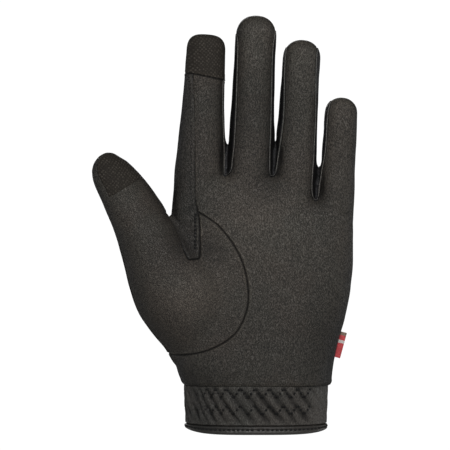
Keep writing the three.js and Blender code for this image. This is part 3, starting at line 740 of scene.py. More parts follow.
# Painted light (+) and painted shade (-) on the front leather:
# middle across and up, reach across and up, amount
PAINTED_LIGHT_AND_SHADE_PATCHES = [
    (0.0, 108.0, 24.0, 16.0, 0.44),
    (2.0, 82.0, 38.0, 34.0, 0.19),
    (-34.0, 71.0, 17.0, 14.0, 0.7),
    (-62.0, 116.0, 14.0, 13.0, 0.14),
    (-38.0, 96.0, 10.0, 13.0, -0.58),
    (-23.0, 92.0, 9.0, 8.0, -0.34),
    (-18.0, 103.0, 5.0, 5.0, 0.12),
    (-33.0, 132.0, 9.0, 22.0, -0.2),
    (-27.0, 166.0, 10.0, 25.0, -0.12),
    (-2.0, 164.0, 12.0, 19.0, -0.3),
    (-50.0, 45.0, 8.0, 25.0, -0.10),
    (-14.0, 137.0, 5.5, 19.0, -0.42),
    (9.0, 137.0, 5.5, 19.0, -0.42),
    (31.0, 127.0, 5.0, 13.0, -0.30),
    (0.0, 50.0, 45.0, 20.0, -0.14),
    (36.0, 48.0, 12.0, 24.0, -0.29),
    (33.0, 118.0, 8.0, 7.0, -0.32),
    (-13.0, 127.0, 6.5, 7.0, 0.5),
    (2.0, 127.0, 7.0, 9.0, -0.32),
    (-28.0, 27.0, 16.0, 8.0, -0.34),
    (-31.0, 113.0, 5.0, 6.0, -0.34),
    (-28.0, 95.0, 9.0, 6.0, -0.28),
    (-36.0, 131.0, 5.0, 14.0, -0.18),
    (-8.5, 170.0, 2.5, 32.0, -0.2),
    (15.3, 163.0, 2.0, 30.0, -0.26),
    (-0.5, 200.0, 9.0, 14.0, 0.36),
    (22.5, 192.0, 9.0, 13.0, 0.36),
    (43.0, 168.0, 8.0, 9.0, 0.36),
    (-37.5, 155.0, 4.5, 42.0, -0.06),
]


# Seam edges made lighter by wear and by a painted highlight: middle across and up, reach across and up,
# amount
RUBBED_AND_SHEEN_EDGES = [
    (-27.8, 101.0, 1.6, 10.0, 1.6),
    (-78.0, 127.0, 6.0, 9.0, 3.0),
]


def rub_and_sheen_share(points):
    """How much lighter than elsewhere a seam edge is made by wear and painted highlight, 1 being the usual
    amount.
    """
    front = 1 - smooth_step(points[:, 1], -3, 3)
    return 1 + sum(front * amount * patch(points, *place) for *place, amount in RUBBED_AND_SHEEN_EDGES)


def leather_painted_light_and_shade(points, normals):
    """Share of the leather's middle colour, with painted light and shade: painted shade round the sides and
    low on the palm, painted light on the pads.
    """
    _, y, z = points.T
    aside = 1 - np.sqrt(np.clip(1 - normals[:, 0] ** 2, 0, 1))
    finger = smooth_step(z, 130, 150)
    tone = 1.12 + 0.07 * finger - (0.62 + 0.14 * finger) * smooth_step(aside, 0.0, 0.5)
    front = 1 - smooth_step(y, -3, 3)
    tone -= 0.06 * finger + 0.08 * (1 - smooth_step(z, 45, 85))
    for *place, amount in PAINTED_LIGHT_AND_SHADE_PATCHES:
        tone += front * amount * patch(points, *place)
    return tone


def boundary_points(skin):
    edges, count = edges_of(skin.faces)
    return np.unique(edges[count == 1])


def distance_to_seam(skin, reach=4.0):
    """Each point's distance to the panel's sewn edge, as far as the reach."""
    rim = boundary_points(skin)
    rim = rim[skin.points[rim, 2] > PALM_EDGE + 0.4]
    tree = KDTree(len(rim))
    for i, place in enumerate(skin.points[rim]):
        tree.insert(place, i)
    tree.balance()
    distance = np.full(len(skin.points), reach)
    for i, place in enumerate(skin.points):
        distance[i] = min(tree.find(place)[2], reach)
    return distance


def seam_clarity(points):
    """How clearly a seam is drawn: the tongue's left side and the index side seam lie flat and soft."""
    x, y, z = points.T
    front = smooth_step(-y, 1, 3)
    tongue_left = front * smooth_step(-x, 33, 35) * between(z, 94, 98, 125, 140)
    index_side = front * smooth_step(-x, 24, 27) * between(z, 112, 118, 177, 181)
    soft = 0.5 + 0.35 * smooth_step(z, 140, 150)
    return 1 - 0.95 * tongue_left - soft * index_side * (1 - tongue_left)


def thickened(points, normals, faces, thickness):
    """The sheet with an inner face and a rim, and for each face 1 if it is inside."""
    size = len(points)
    a, b = rim_sides(faces, size).T
    walls = np.vstack([np.stack([b, a, a + size], 1), np.stack([b, a + size, b + size], 1)])
    inner = faces[:, ::-1] + size
    inside = np.repeat(np.array([0, 1, 0], np.int32), (len(faces), len(inner), len(walls)))
    return np.vstack([points, points - normals * thickness]), np.vstack([faces, inner, walls]), inside


def leather_masks(count, seam=0.0, tone=1.0, lip=0.0):
    """Values for the leather at each point: painted shade in the seam, share of the colour with its painted
    light and shade, and the lip's lightening by wear and painted highlight.
    """
    return {"lip": np.full(count, lip), "seam": np.full(count, seam), "tone": np.full(count, tone)}


def finished_piece(name, points, faces, materials, slot, nodes=(), material_index=None, masks=None):
    """Makes the Blender object of a piece, hangs it on the root body and hides the solid-model parts that it
    replaces.
    """
    mesh = plain_mesh(name, points * MM, faces)
    for material in materials:
        mesh.materials.append(material)
    if material_index is not None:
        mesh.polygons.foreach_set("material_index", material_index)
    for mask_name, values in (masks or {}).items():
        mask = mesh.attributes.new(mask_name, "FLOAT", "POINT")
        mask.data.foreach_set("value", values.astype(np.float32))
    mesh.shade_smooth()
    piece = bpy.data.objects.new(name, mesh)
    scene.collection.objects.link(piece)
    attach(piece, "root")
    if nodes:
        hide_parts(*nodes)
    return piece


# Materials

def node_group(name, inputs, outputs):
    """A new node group with its sockets: its nodes, what it is given and what it puts out."""
    group = bpy.data.node_groups.new(name, "ShaderNodeTree")
    for socket, kind, value in inputs:
        group.interface.new_socket(name=socket, in_out="INPUT", socket_type=kind).default_value = value
    for socket, kind in outputs:
        group.interface.new_socket(name=socket, in_out="OUTPUT", socket_type=kind)
    return Nodes(group), group.nodes.new("NodeGroupInput"), group.nodes.new("NodeGroupOutput")


class Nodes:
    """Shorthand for placing and wiring shader nodes. An input is named, or given as i and its number."""

    def __init__(self, tree):
        self.tree = tree

    def add(self, kind, settings=None, **values):
        node = self.tree.nodes.new(kind)
        for key, value in (settings or {}).items():
            setattr(node, key, value)
        for key, value in values.items():
            numbered = key[0] == "i" and key[1:].isdigit()
            self.feed(node.inputs[int(key[1:]) if numbered else key.replace("_", " ")], value)
        return node

    def feed(self, socket, value):
        if isinstance(value, bpy.types.NodeSocket):
            self.tree.links.new(value, socket)
        elif isinstance(value, bpy.types.Node):
            self.tree.links.new(value.outputs[0], socket)
        else:
            socket.default_value = value

    def place(self):
        return self.add("ShaderNodeTexCoord").outputs["Object"]

    def attribute(self, name):
        return self.add("ShaderNodeAttribute", {"attribute_name": name}).outputs["Fac"]

    def noise(self, place, scale, detail):
        return self.add("ShaderNodeTexNoise", Vector=place, Scale=scale, Detail=detail)

    def maths(self, operation, a, b=0.0):
        return self.add("ShaderNodeMath", {"operation": operation}, i0=a, i1=b).outputs[0]

    def vector_maths(self, operation, a, **values):
        return self.add("ShaderNodeVectorMath", {"operation": operation}, i0=a, **values).outputs[0]

    def remap(self, value, from_low, from_high, to_low, to_high):
        node = self.add("ShaderNodeMapRange", {"interpolation_type": "SMOOTHSTEP"}, Value=value)
        limits = {"From Min": from_low, "From Max": from_high, "To Min": to_low, "To Max": to_high}
        for socket, number in limits.items():
            node.inputs[socket].default_value = number
        return node.outputs[0]

    def blend(self, factor, a, b, mode="MIX"):
        node = self.add("ShaderNodeMix", {"data_type": "RGBA", "blend_type": mode})
        self.feed(node.inputs[0], factor)
        self.feed(node.inputs[6], a)
        self.feed(node.inputs[7], b)
        return node.outputs[2]


# Colour of the painted shade down in the seams
SEAM_SHADE_BLACK = (0.004, 0.004, 0.004, 1)


def leather_grain_group():
    """Pebbled grain: uneven rounded cells parted by fine creases, and slow patches of tone."""
    n, given, out = node_group(
        "leather_grain",
        [("Cells per Metre", "NodeSocketFloat", 760.0), ("Stretch", "NodeSocketVector", (1, 1, 1))],
        [("Height", "NodeSocketFloat"), ("Tone", "NodeSocketFloat"), ("Patches", "NodeSocketFloat")])
    cells_per_metre = given.outputs["Cells per Metre"]
    place = n.place()
    stretched = n.vector_maths("MULTIPLY", place, i1=given.outputs["Stretch"])
    wander = n.noise(stretched, 260.0, 2.0)
    drift = n.vector_maths("SCALE", wander.outputs["Color"], Scale=0.0016)
    moved = n.vector_maths("ADD", stretched, i1=drift)
    cells = n.add("ShaderNodeTexVoronoi", {"feature": "DISTANCE_TO_EDGE"}, Vector=moved,
                  Scale=cells_per_metre, Randomness=0.85)
    rounded = n.remap(cells.outputs["Distance"], 0.0, 0.36, 0.0, 1.0)
    ripples = n.noise(moved, n.maths("MULTIPLY", cells_per_metre, 3.5), 0.0)
    waves = n.remap(ripples.outputs["Fac"], 0.3, 0.7, 0.0, 1.0)
    fine = n.add("ShaderNodeTexVoronoi", {"feature": "F1"}, Vector=moved,
                 Scale=n.maths("MULTIPLY", cells_per_metre, 3.1))
    tone = n.maths("ADD", n.maths("MULTIPLY", rounded, 0.25), n.maths("MULTIPLY", waves, 0.75))
    pimples = n.maths("MULTIPLY", n.maths("SUBTRACT", 1.0, fine.outputs["Distance"]), 0.1)
    n.feed(out.inputs["Height"], n.maths("ADD", tone, pimples))
    n.feed(out.inputs["Tone"], tone)
    n.feed(out.inputs["Patches"], n.noise(place, 42.0, 3.0).outputs["Fac"])
    return n.tree


def edge_wear_and_painted_light_group():
    """Lightens a colour on a lip of leather, by wear and a painted highlight, and darkens it down in a seam
    with painted shade.
    """
    n, given, out = node_group(
        "edge_wear_and_painted_light",
        [("Color", "NodeSocketColor", (0.05, 0.05, 0.05, 1)), ("Rub", "NodeSocketFloat", 0.5),
         ("Shade", "NodeSocketFloat", 0.8)],
        [("Color", "NodeSocketColor")])
    broken = n.remap(n.noise(n.place(), 600.0, 2.0).outputs["Fac"], 0.3, 0.7, 0.55, 1.0)
    lip_wear_and_sheen = n.maths("MULTIPLY", n.maths("MULTIPLY", n.attribute("lip"), given.outputs["Rub"]), broken)
    lighter = n.blend(1.0, given.outputs["Color"], (2.1, 2.1, 2.05, 1), "MULTIPLY")
    worn_and_sheened = n.blend(lip_wear_and_sheen, given.outputs["Color"], lighter)
    shade = n.maths("MULTIPLY", n.attribute("seam"), given.outputs["Shade"])
    n.feed(out.inputs["Color"], n.blend(shade, worn_and_sheened, SEAM_SHADE_BLACK))
    return n.tree


GRAIN = leather_grain_group()
EDGES = edge_wear_and_painted_light_group()


def new_material(name):
    material = bpy.data.materials.new(name)
    material.use_nodes = True
    material.node_tree.nodes.clear()
    n = Nodes(material.node_tree)
    shader = n.add("ShaderNodeBsdfPrincipled")
    n.add("ShaderNodeOutputMaterial", Surface=shader)
    return material, n, shader


def finish(n, shader, colour, roughness, height, depth, strength=1.0, specular=0.5):
    """Gives a material its colour, its roughness and its relief, whose depth is in metres."""
    n.feed(shader.inputs["Base Color"], colour)
    n.feed(shader.inputs["Roughness"], roughness)
    bump = n.add("ShaderNodeBump", Height=height, Strength=strength, Distance=depth)
    n.feed(shader.inputs["Normal"], bump.outputs[0])
    shader.inputs["Specular IOR Level"].default_value = specular


def shaded(tone, share):
    """A colour made darker or lighter, with its alpha."""
    return tuple(v * share for v in tone) + (1,)


def leather(name, tone, cells=760.0, stretch=(1, 1, 0.5), contrast=0.66, relief=0.0002, roughness=0.56,
            rub=0.5, shade=0.85):
    """Grained leather. tone is its middle colour, relief the depth of the grain in metres. rub lightens the
    lip by wear and painted highlight; shade sets the painted shade in the seams.
    """
    material, n, shader = new_material(name)
    grain = n.add("ShaderNodeGroup", {"node_tree": GRAIN}, Cells_per_Metre=cells, Stretch=stretch)
    colour = n.blend(grain.outputs["Tone"], shaded(tone, 1 - contrast), shaded(tone, 1 + contrast))
    cool = n.blend(1.0, colour, (0.96, 0.98, 0.97, 1), "MULTIPLY")
    warm = n.blend(1.0, colour, (1.07, 1.02, 1.0, 1), "MULTIPLY")
    colour = n.blend(n.remap(grain.outputs["Patches"], 0.35, 0.65, 0.0, 1.0), cool, warm)
    # Painted light and shade: the colour is scaled by each point's tone
    colour = n.vector_maths("SCALE", colour, Scale=n.attribute("tone"))
    edged = n.add("ShaderNodeGroup", {"node_tree": EDGES}, Color=colour, Rub=rub, Shade=shade)
    dull, polished = min(1, roughness + 0.14), roughness - 0.05
    gloss = n.remap(grain.outputs["Height"], 0.2, 1.0, dull, polished)
    finish(n, shader, edged.outputs[0], gloss, grain.outputs["Height"], relief, specular=0.36)
    return material


def touch_fabric(name):
    """Close knit with rows of tiny raised dots."""
    material, n, shader = new_material(name)
    place = n.place()
    parts = n.add("ShaderNodeSeparateXYZ", Vector=place)
    around = n.maths("ADD", parts.outputs["X"], n.maths("MULTIPLY", parts.outputs["Y"], 0.35))
    flat = n.add("ShaderNodeCombineXYZ", X=around, Y=parts.outputs["Z"])
    turned = n.add("ShaderNodeMapping", Vector=flat)
    turned.inputs["Rotation"].default_value = (0, 0, math.radians(40))
    dots = n.add("ShaderNodeTexVoronoi", {"feature": "F1", "voronoi_dimensions": "2D"}, Vector=turned,
                 Scale=700.0, Randomness=0.3)
    dot = n.remap(dots.outputs["Distance"], 0.14, 0.46, 1.0, 0.0)
    unlike = n.add("ShaderNodeSeparateColor", Color=dots.outputs["Color"])
    bright = n.maths("MULTIPLY", dot, n.remap(unlike.outputs["Red"], 0.0, 1.0, 0.25, 1.0))
    knit = n.noise(place, 1500.0, 3.0).outputs["Fac"]
    height = n.maths("ADD", n.maths("MULTIPLY", dot, 0.7), n.maths("MULTIPLY", knit, 0.4))
    ground = n.blend(knit, (0.008, 0.0066, 0.005, 1), (0.034, 0.028, 0.022, 1))
    colour = n.blend(bright, ground, (0.062, 0.054, 0.044, 1))
    edged = n.add("ShaderNodeGroup", {"node_tree": EDGES}, Color=colour, Rub=0.5, Shade=0.8)
    finish(n, shader, edged.outputs[0], 0.82, height, 0.0002, specular=0.3)
    return material


def suede_inside(name):
    material, n, shader = new_material(name)
    nap = n.noise(n.place(), 1900.0, 3.0).outputs["Fac"]
    finish(n, shader, n.blend(nap, (0.022, 0.021, 0.02, 1), (0.05, 0.048, 0.045, 1)), 0.95, nap, 0.0002)
    shader.inputs["Sheen Weight"].default_value = 0.15
    return material


def bands(n, direction, scale):
    """Fine parallel bands, for twisted thread and woven tape."""
    wave = n.add("ShaderNodeTexWave", {"wave_type": "BANDS", "bands_direction": direction},
                 Vector=n.place(), Scale=scale)
    return wave.outputs["Fac"]


def sewing_thread(name, tone):
    material, n, shader = new_material(name)
    twist = bands(n, "DIAGONAL", 2600.0)
    finish(n, shader, n.blend(twist, shaded(tone, 0.6), shaded(tone, 1)), 0.7, twist, 0.00008, 0.6)
    return material


def label_weave(name):
    """Woven tape in plain bands across its height."""
    material, n, shader = new_material(name)
    ramp = n.add("ShaderNodeValToRGB", Fac=n.attribute("up_label"))
    ramp.color_ramp.interpolation = "CONSTANT"
    red, white, sand = (0.78, 0.1, 0.11, 1), (0.95, 0.9, 0.86, 1), (0.34, 0.26, 0.2, 1)
    elements = ramp.color_ramp.elements
    elements[0].color, elements[1].color, elements[1].position = red, white, 0.57
    for position, colour in ((0.68, red), (0.87, sand)):
        elements.new(position).color = colour
    weave = bands(n, "Z", 1500.0)
    colour = n.blend(n.remap(weave, 0.0, 1.0, 0.0, 0.35), ramp.outputs[0], (0.1, 0.02, 0.02, 1))
    finish(n, shader, colour, 0.8, weave, 0.0001, 0.7)
    return material


PALM_LEATHER = leather("palm_leather", (0.0403, 0.036, 0.0302))
THUMB_LEATHER = leather("thumb_leather", (0.0402, 0.0356, 0.0298), stretch=(1, 1, 0.7), rub=0.45)
BACK_LEATHER = leather("back_leather", (0.038, 0.034, 0.0292))
SIDE_PANEL_LEATHER = leather("index_side_leather", (0.037, 0.0343, 0.03))
FOURCHETTE_LEATHER = leather("fourchette_leather", (0.008, 0.008, 0.0095), cells=900.0, relief=0.0001,
                             rub=0.9)
CUFF_LEATHER = leather("cuff_leather", (0.0562, 0.053, 0.0476), cells=900.0, contrast=0.5,
                       stretch=(1, 1, 0.35))
HEM_LEATHER = leather("hem_leather", (0.045, 0.043, 0.04), cells=900.0, relief=0.00006, roughness=0.3,
                      contrast=0.15)
# Its pale colour is partly the cut edge's own and partly a painted highlight along the standing edge
PIPING_LEATHER = leather("seam_edge_leather", (0.1, 0.097, 0.09), cells=1200.0, relief=0.00008, rub=0.0,
                         shade=0.0)
TOUCH_FABRIC = touch_fabric("touch_fabric")
SUEDE = suede_inside("suede_inside")
BLACK_THREAD = sewing_thread("black_thread", (0.005, 0.005, 0.005))
LABEL = label_weave("label_weave")

# Material, slot, how deep the edges roll into the seam, how high the lip beside it stands
PANEL_FINISH = {
    "palm_panel": (PALM_LEATHER, "grained_leather", 0.55, 0.12),
    "back_panel": (BACK_LEATHER, "grained_leather", 0.55, 0.12),
    "index_side_panel": (SIDE_PANEL_LEATHER, "grained_leather", 0.5, 0.18),
    "thumb_front_panel": (THUMB_LEATHER, "grained_leather", 0.55, 0.16),
    "thumb_back_panel": (BACK_LEATHER, "grained_leather", 0.5, 0.15),
    "index_touch_cap": (TOUCH_FABRIC, "touch_fabric", 0.5, 0.08),
    "thumb_touch_cap": (TOUCH_FABRIC, "touch_fabric", 0.75, 0.05),
    "fourchette_index_middle": (FOURCHETTE_LEATHER, "side_leather", 0.3, 0.2),
    "fourchette_middle_ring": (FOURCHETTE_LEATHER, "side_leather", 0.3, 0.2),
    "fourchette_ring_little": (FOURCHETTE_LEATHER, "side_leather", 0.3, 0.2),
}


# Beside a seam: how far off the raised lip lies and how far it, the painted seam shade and the rolled edge
# reach
LIP_PLACE = 0.95
LIP_REACH = 0.45
SEAM_REACH = 0.52
ROLL_REACH = 0.5


def seam_shape(points, distance, roll, lip_height):
    """How deep the points sink towards a seam or the wrist, with the shares of the lip's lightening by wear
    and painted highlight and of the painted shade in the seam.
    """
    clear = seam_clarity(points)
    lip = clear * np.exp(-((distance - LIP_PLACE) / LIP_REACH) ** 2)
    # The painted shade in the seam reaches further at the tongue's tip and at the thumb's cap
    tongue_tip, thumb_cap = patch(points, -31, 89.5, 4, 3), patch(points, -68, 122, 10, 8)
    seam = clear * np.exp(-(distance / (SEAM_REACH + 0.5 * tongue_tip + 0.3 * thumb_cap)) ** 2)
    pucker = 1 + 0.35 * unevenness(points, 2.6, 21)
    index_cap_end = smooth_step(-points[:, 0], 33.5, 36) * np.exp(-((points[:, 2] - 184) / 5) ** 2)
    rolled = roll * (0.2 + 0.8 * clear) * (1 - 0.7 * index_cap_end) * np.exp(-(distance / ROLL_REACH) ** 1.6)
    above_wrist = np.maximum(points[:, 2] - PALM_EDGE, 0)
    wrist_edge = 0.35 * np.exp(-(above_wrist / 0.9) ** 1.5) - 0.3 * np.exp(-((above_wrist - 1.8) / 1.2) ** 2)
    sink = rolled - lip_height * lip * pucker + wrist_edge
    # A lighter lip along the palm's folded edge above the wristband: wear with a painted highlight
    lip = np.maximum(lip, 0.5 * np.exp(-((above_wrist - 0.7) / 0.5) ** 2))
    return sink, lip * rub_and_sheen_share(points), seam


def sewn_panel(name, skin):
    """A cut panel whose edges roll down into the seams, with its thickness and its suede inside."""
    material, slot, roll, lip_height = PANEL_FINISH[name]
    sink, lip, seam = seam_shape(skin.points, distance_to_seam(skin), roll, lip_height)
    outer = relaxed(skin.points - skin.normals * sink[:, None])
    points, faces, inside = thickened(outer, skin.normals, skin.faces, LEATHER)
    # Painted light and shade in the leather's colour
    tone = leather_painted_light_and_shade(skin.points, skin.normals)
    masks = {"lip": np.tile(lip, 2), "seam": np.tile(seam, 2), "tone": np.tile(tone, 2)}
    return finished_piece(f"{name}_sewn", points, faces, [material, SUEDE], slot, [name], inside, masks)


# Wristband and hem

WRIST_SQUARENESS = PALM_SQUARENESS - 0.3


def wrist_line():
    """The wrist outline by length: from the middle of the front towards the little finger's side."""
    angle = np.linspace(-math.pi / 2, 1.5 * math.pi, 4001)
    c, s = np.cos(angle), np.sin(angle)
    x = WRIST_WIDTH / 2 * power_curve(c, WRIST_SQUARENESS)
    y = WRIST_DEPTH / 2 * power_curve(s, WRIST_SQUARENESS)
    line = evenly(np.stack([x, y], 1), 0.05)
    run = run_along(line)
    tangent = np.gradient(line, run, axis=0)
    outward = np.stack([tangent[:, 1], -tangent[:, 0]], 1)
    for _ in range(60):
        ring = outward[:-1]
        ring = (np.roll(ring, 6, 0) + ring + np.roll(ring, -6, 0)) / 3
        outward = np.vstack([ring, ring[:1]])
    outward /= np.linalg.norm(outward, axis=1)[:, None]
    return line, outward, run


WRIST_LINE, WRIST_OUTWARD, WRIST_RUN = wrist_line()
WRIST_LENGTH = WRIST_RUN[-1]
GATHER_PITCH = WRIST_LENGTH / GATHERS


def on_wrist(run, outward, z):
    """Points round the wrist: run along the outline, out from it, and at a height."""
    z = np.broadcast_to(z, np.shape(run))
    run = np.mod(run, WRIST_LENGTH)
    out = outward - CUFF_TAPER * (1 - np.minimum(z / CUFF_TOP, 1))
    place = at_places(run, WRIST_RUN, WRIST_LINE) + at_places(run, WRIST_RUN, WRIST_OUTWARD) * out[:, None]
    return np.column_stack([place, z])


def wrist_unevenness(run, z, size, seed):
    """Smooth random values round the wrist."""
    return unevenness(np.column_stack([run, np.zeros(len(run)), z]), size, seed)


# Zig-zag rows: height of the peaks and of the valleys
ZIGZAG_ROWS = [(23.9, 18.4), (15.2, 10.2)]
ZIGZAG_START = -0.7
ZIGZAG_DOTS = 3
ZIGZAG_DOT_RADIUS = 0.64
GROOVE_SLOPE = 0.82
CROWDED_GATHERS = 2


def gathers_passed(run):
    """Gathers counted along the wrist from the middle of the front. They crowd at the thumb's side."""
    half = WRIST_LENGTH / 2
    run = np.mod(run + half, WRIST_LENGTH) - half
    return (run - ZIGZAG_START) / GATHER_PITCH - CROWDED_GATHERS * smooth_step(-run, 14, 46)


def crowded_share(run):
    """1 in the middle of the crowded gathers at the thumb's side, 0 away from them."""
    return np.exp(-((np.mod(run, WRIST_LENGTH) - WRIST_LENGTH + 34) / 9) ** 2)


def zigzag_height(run, row):
    peak, valley = row
    turn = np.mod(gathers_passed(run), 1)
    return peak + (valley - peak) * np.where(turn < 0.5, 2 * turn, 2 - 2 * turn)


def wrist_painted_shade(points):
    """The wristband is a little darker towards the thumb's side, as painted shade."""
    return 1.05 - 0.36 * smooth_step(-points[:, 0], 2, 34)


def gathered_share(run):
    """1 where the elastic draws the band in, 0 on the smooth patch at the little finger's side."""
    return 1 - between(np.mod(run, WRIST_LENGTH), 25, 32, 58, 65)


def gather_height(run, z):
    """How far the gathered leather stands out from the wristband's plain surface."""
    z = np.broadcast_to(z, np.shape(run))
    middle = sum(ZIGZAG_ROWS[0]) / 2
    gathered, bunched = gathered_share(run), crowded_share(run)
    wander = 0.07 * wrist_unevenness(run * 0.9, z, 9.0, 31) + 0.04 * wrist_unevenness(run * 0.9, z, 4.0, 32)
    turn = gathers_passed(run) - 0.25 + GROOVE_SLOPE * (z - middle) / GATHER_PITCH + wander
    valley = np.abs(np.cos(math.pi * turn))
    groove = 0.5 * valley ** 1.6 + 0.5 * valley ** 9
    amount = 0.2 + 0.8 * between(z, HEM_HEIGHT, HEM_HEIGHT + 4.0, CUFF_TOP - 5.5, CUFF_TOP)
    lively = 0.75 + 0.25 * wrist_unevenness(run, 0 * z, 16.0, 33)
    height = -GATHER_DEPTH * amount * lively * groove * (0.15 + 0.85 * gathered) * (1 - 0.35 * bunched)
    for row in ZIGZAG_ROWS:
        from_row = (z - zigzag_height(run, row)) * 0.58
        height -= 0.15 * np.exp(-(from_row / 0.6) ** 2) * gathered
    slanted = run + GROOVE_SLOPE * (1 - 0.6 * bunched) * z
    creases = wrist_unevenness(slanted, z * 0.28, 1.5, 34)
    return height + (0.26 + 0.44 * bunched) * creases * amount * (0.4 + 0.6 * gathered)


def grid_band(rings):
    """Faces of a band that closes round the wrist, its rows closing on each other as well."""
    rows, sides, _ = rings.shape
    faces = []
    for r in range(rows):
        faces += ring_faces(r * sides, (r + 1) % rows * sides, sides)
    return rings.reshape(-1, 3), np.vstack(faces)


def cuff_profile():
    """Heights of the band's outer points, and how far its rolled edges draw in."""
    low, high = HEM_HEIGHT + 0.15, CUFF_TOP - 0.15
    roll = np.linspace(0, math.pi / 2, 5)
    profile = [(low + 0.5 - 0.5 * math.sin(a), -0.5 * (1 - math.cos(a))) for a in roll[::-1][:-1]]
    profile += [(z, 0.0) for z in np.linspace(low + 0.5, high - 0.5, 58)]
    return profile + [(high - 0.5 + 0.5 * math.sin(a), -0.3 * (1 - math.cos(a))) for a in roll[1:]]


def gathered_cuff():
    """The wristband: puckered outside, rolled at its two edges, smooth inside."""
    run = np.arange(GATHERS * 26) / (GATHERS * 26) * WRIST_LENGTH
    rings, creases, lit_crowns = [], [], []
    for z, out in cuff_profile():
        height = gather_height(run, z)
        rings.append(on_wrist(run, height + out, z))
        # Painted shade in the grooves between the puckers, and painted light on their crowns
        creases.append(smooth_step(-height, 0.8, 1.5))
        lit_crowns.append(smooth_step(height, -0.9, 0.1))
    low, high = HEM_HEIGHT + 0.15, CUFF_TOP - 0.15
    for z in (high, low + 0.6 * CUFF_HEIGHT, low):
        rings.append(on_wrist(run, -CUFF_THICKNESS, z))
        creases.append(np.zeros(len(run)))
        lit_crowns.append(np.ones(len(run)))
    points, faces = grid_band(np.array(rings))
    above_hem = np.clip((points[:, 2] - HEM_HEIGHT) / 9, 0, 1)
    points[:, 2] += hem_lift(points) * (1 - above_hem)
    inside = np.repeat(np.arange(len(rings)) >= len(rings) - 4, 2 * len(run)).astype(np.int32)
    # Painted light on the crowns of the puckers, and painted shade towards the thumb's side
    tone = wrist_painted_shade(points) * (0.6 + 0.5 * np.concatenate(lit_crowns))
    masks = leather_masks(len(points), np.concatenate(creases) * 0.62, tone)
    return finished_piece("cuff_gathered", points, faces, [CUFF_LEATHER, SUEDE], "grained_leather", ["cuff"],
                          inside, masks)


# Hem profile: out from the wristband's surface and height above the edge, round the roll
HEM_PROFILE = [
    (-1.25, 0.1), (-0.55, 0.3), (0.04, 0.65), (0.33, 1.1), (0.34, 1.65), (0.2, 2.15), (-0.02, 2.5),
    (-0.06, 2.8), (0.1, 3.1), (0.3, 3.4), (0.36, 3.75), (0.12, 4.1), (-0.4, 4.35), (-0.9, 4.5),
    (-2.05, 4.5), (-2.1, 0.6),
]
# Profile points further in than this are hidden
HEM_INSIDE = -1
HEM_POINTS = 560
HEM_STITCH_HEIGHT = 2.68
HEM_STITCH_PITCH = 2.34


def hem_lift(points):
    """The hem rises towards both sides, most at its lower edge and a little more at the thumb's side."""
    x, _, z = points.T
    lower = (HEM_LIFT - 0.5) * (1 - np.clip(z / 4.5, 0, 1))
    return (lower + 0.5) * np.abs(2 * x / WRIST_WIDTH) ** 5 * np.where(x < 0, 1.3, 1.0)


def on_hem(run, outward, z):
    """Points round the hem, lifted as it is."""
    points = on_wrist(run, outward, z)
    points[:, 2] += hem_lift(points)
    return points


def rolled_hem():
    """The binding: two soft rolls with the stitch groove between them."""
    profile = evenly(through_points(np.vstack([HEM_PROFILE, HEM_PROFILE[:1]]), 8), 0.3)[:-1]
    run = np.arange(HEM_POINTS) / HEM_POINTS * WRIST_LENGTH
    pulled = np.cos(2 * math.pi * run / HEM_STITCH_PITCH)
    rings = []
    for out, z in profile:
        waver_at = np.column_stack([run, np.full(HEM_POINTS, out * 6), np.full(HEM_POINTS, z * 3)])
        moved = out + 0.07 * unevenness(waver_at, 4.5, 41)
        if out > HEM_INSIDE:
            moved += 0.06 * pulled * math.exp(-(z - HEM_STITCH_HEIGHT) ** 2)
        rings.append(on_hem(run, moved, z))
    points, faces = grid_band(np.array(rings))
    outs, heights = np.repeat(profile, HEM_POINTS, axis=0).T
    # Painted shade in the stitch groove and towards the thumb's side
    groove = np.exp(-((heights - HEM_STITCH_HEIGHT) / 0.32) ** 2) * (outs > HEM_INSIDE)
    masks = leather_masks(len(points), groove * 0.1, wrist_painted_shade(points))
    return finished_piece("hem_rolled", points, faces, [HEM_LEATHER], "binding_leather", ["hem_binding"],
                          None, masks)


# Stitches and seam edges

def tube(path, radius, sides=8, taper=True):
    """A round cord along a path. radius is one number or one for each point; a taper draws in the ends."""
    path = np.asarray(path, float)
    count = len(path)
    tangent = np.gradient(path, axis=0)
    tangent /= np.linalg.norm(tangent, axis=1)[:, None]
    aside = np.cross(tangent, (0.31, -0.4, 0.86))
    aside /= np.linalg.norm(aside, axis=1)[:, None]
    upward = np.cross(tangent, aside)
    widths = np.full(count, 1.0) * radius
    if taper:
        widths = widths * np.sqrt(np.clip(1 - np.linspace(-1, 1, count) ** 4, 0.02, 1))
    angle = np.arange(sides) * 2 * math.pi / sides
    around = np.cos(angle)[:, None] * aside[:, None] + np.sin(angle)[:, None] * upward[:, None]
    return outward_faces(*closed_loft(path[:, None] + widths[:, None, None] * around))


def outward_faces(points, faces):
    """A closed part with its faces turned round if they look inwards."""
    a, b, c = points[faces[:, 0]], points[faces[:, 1]], points[faces[:, 2]]
    volume = np.einsum("ij,ij->i", a, np.cross(b, c)).sum()
    return points, faces if volume > 0 else faces[:, ::-1]


def stitch_row(name, path, normals, length, pitch, radius, sink):
    """Short stitches along a path that lies on the leather, each dipping in at its ends."""
    run = run_along(path)
    height = radius * 0.45 - (sink + radius) * np.linspace(-1, 1, 7) ** 4
    parts = []
    for start in np.arange(0.3, run[-1] - length, pitch):
        places = np.linspace(start, start + length, 7)
        middle = at_places(places, run, path) + at_places(places, run, normals) * height[:, None]
        parts.append(tube(middle, radius, 6))
    return finished_piece(name, *merged(parts), [BLACK_THREAD], "side_leather")


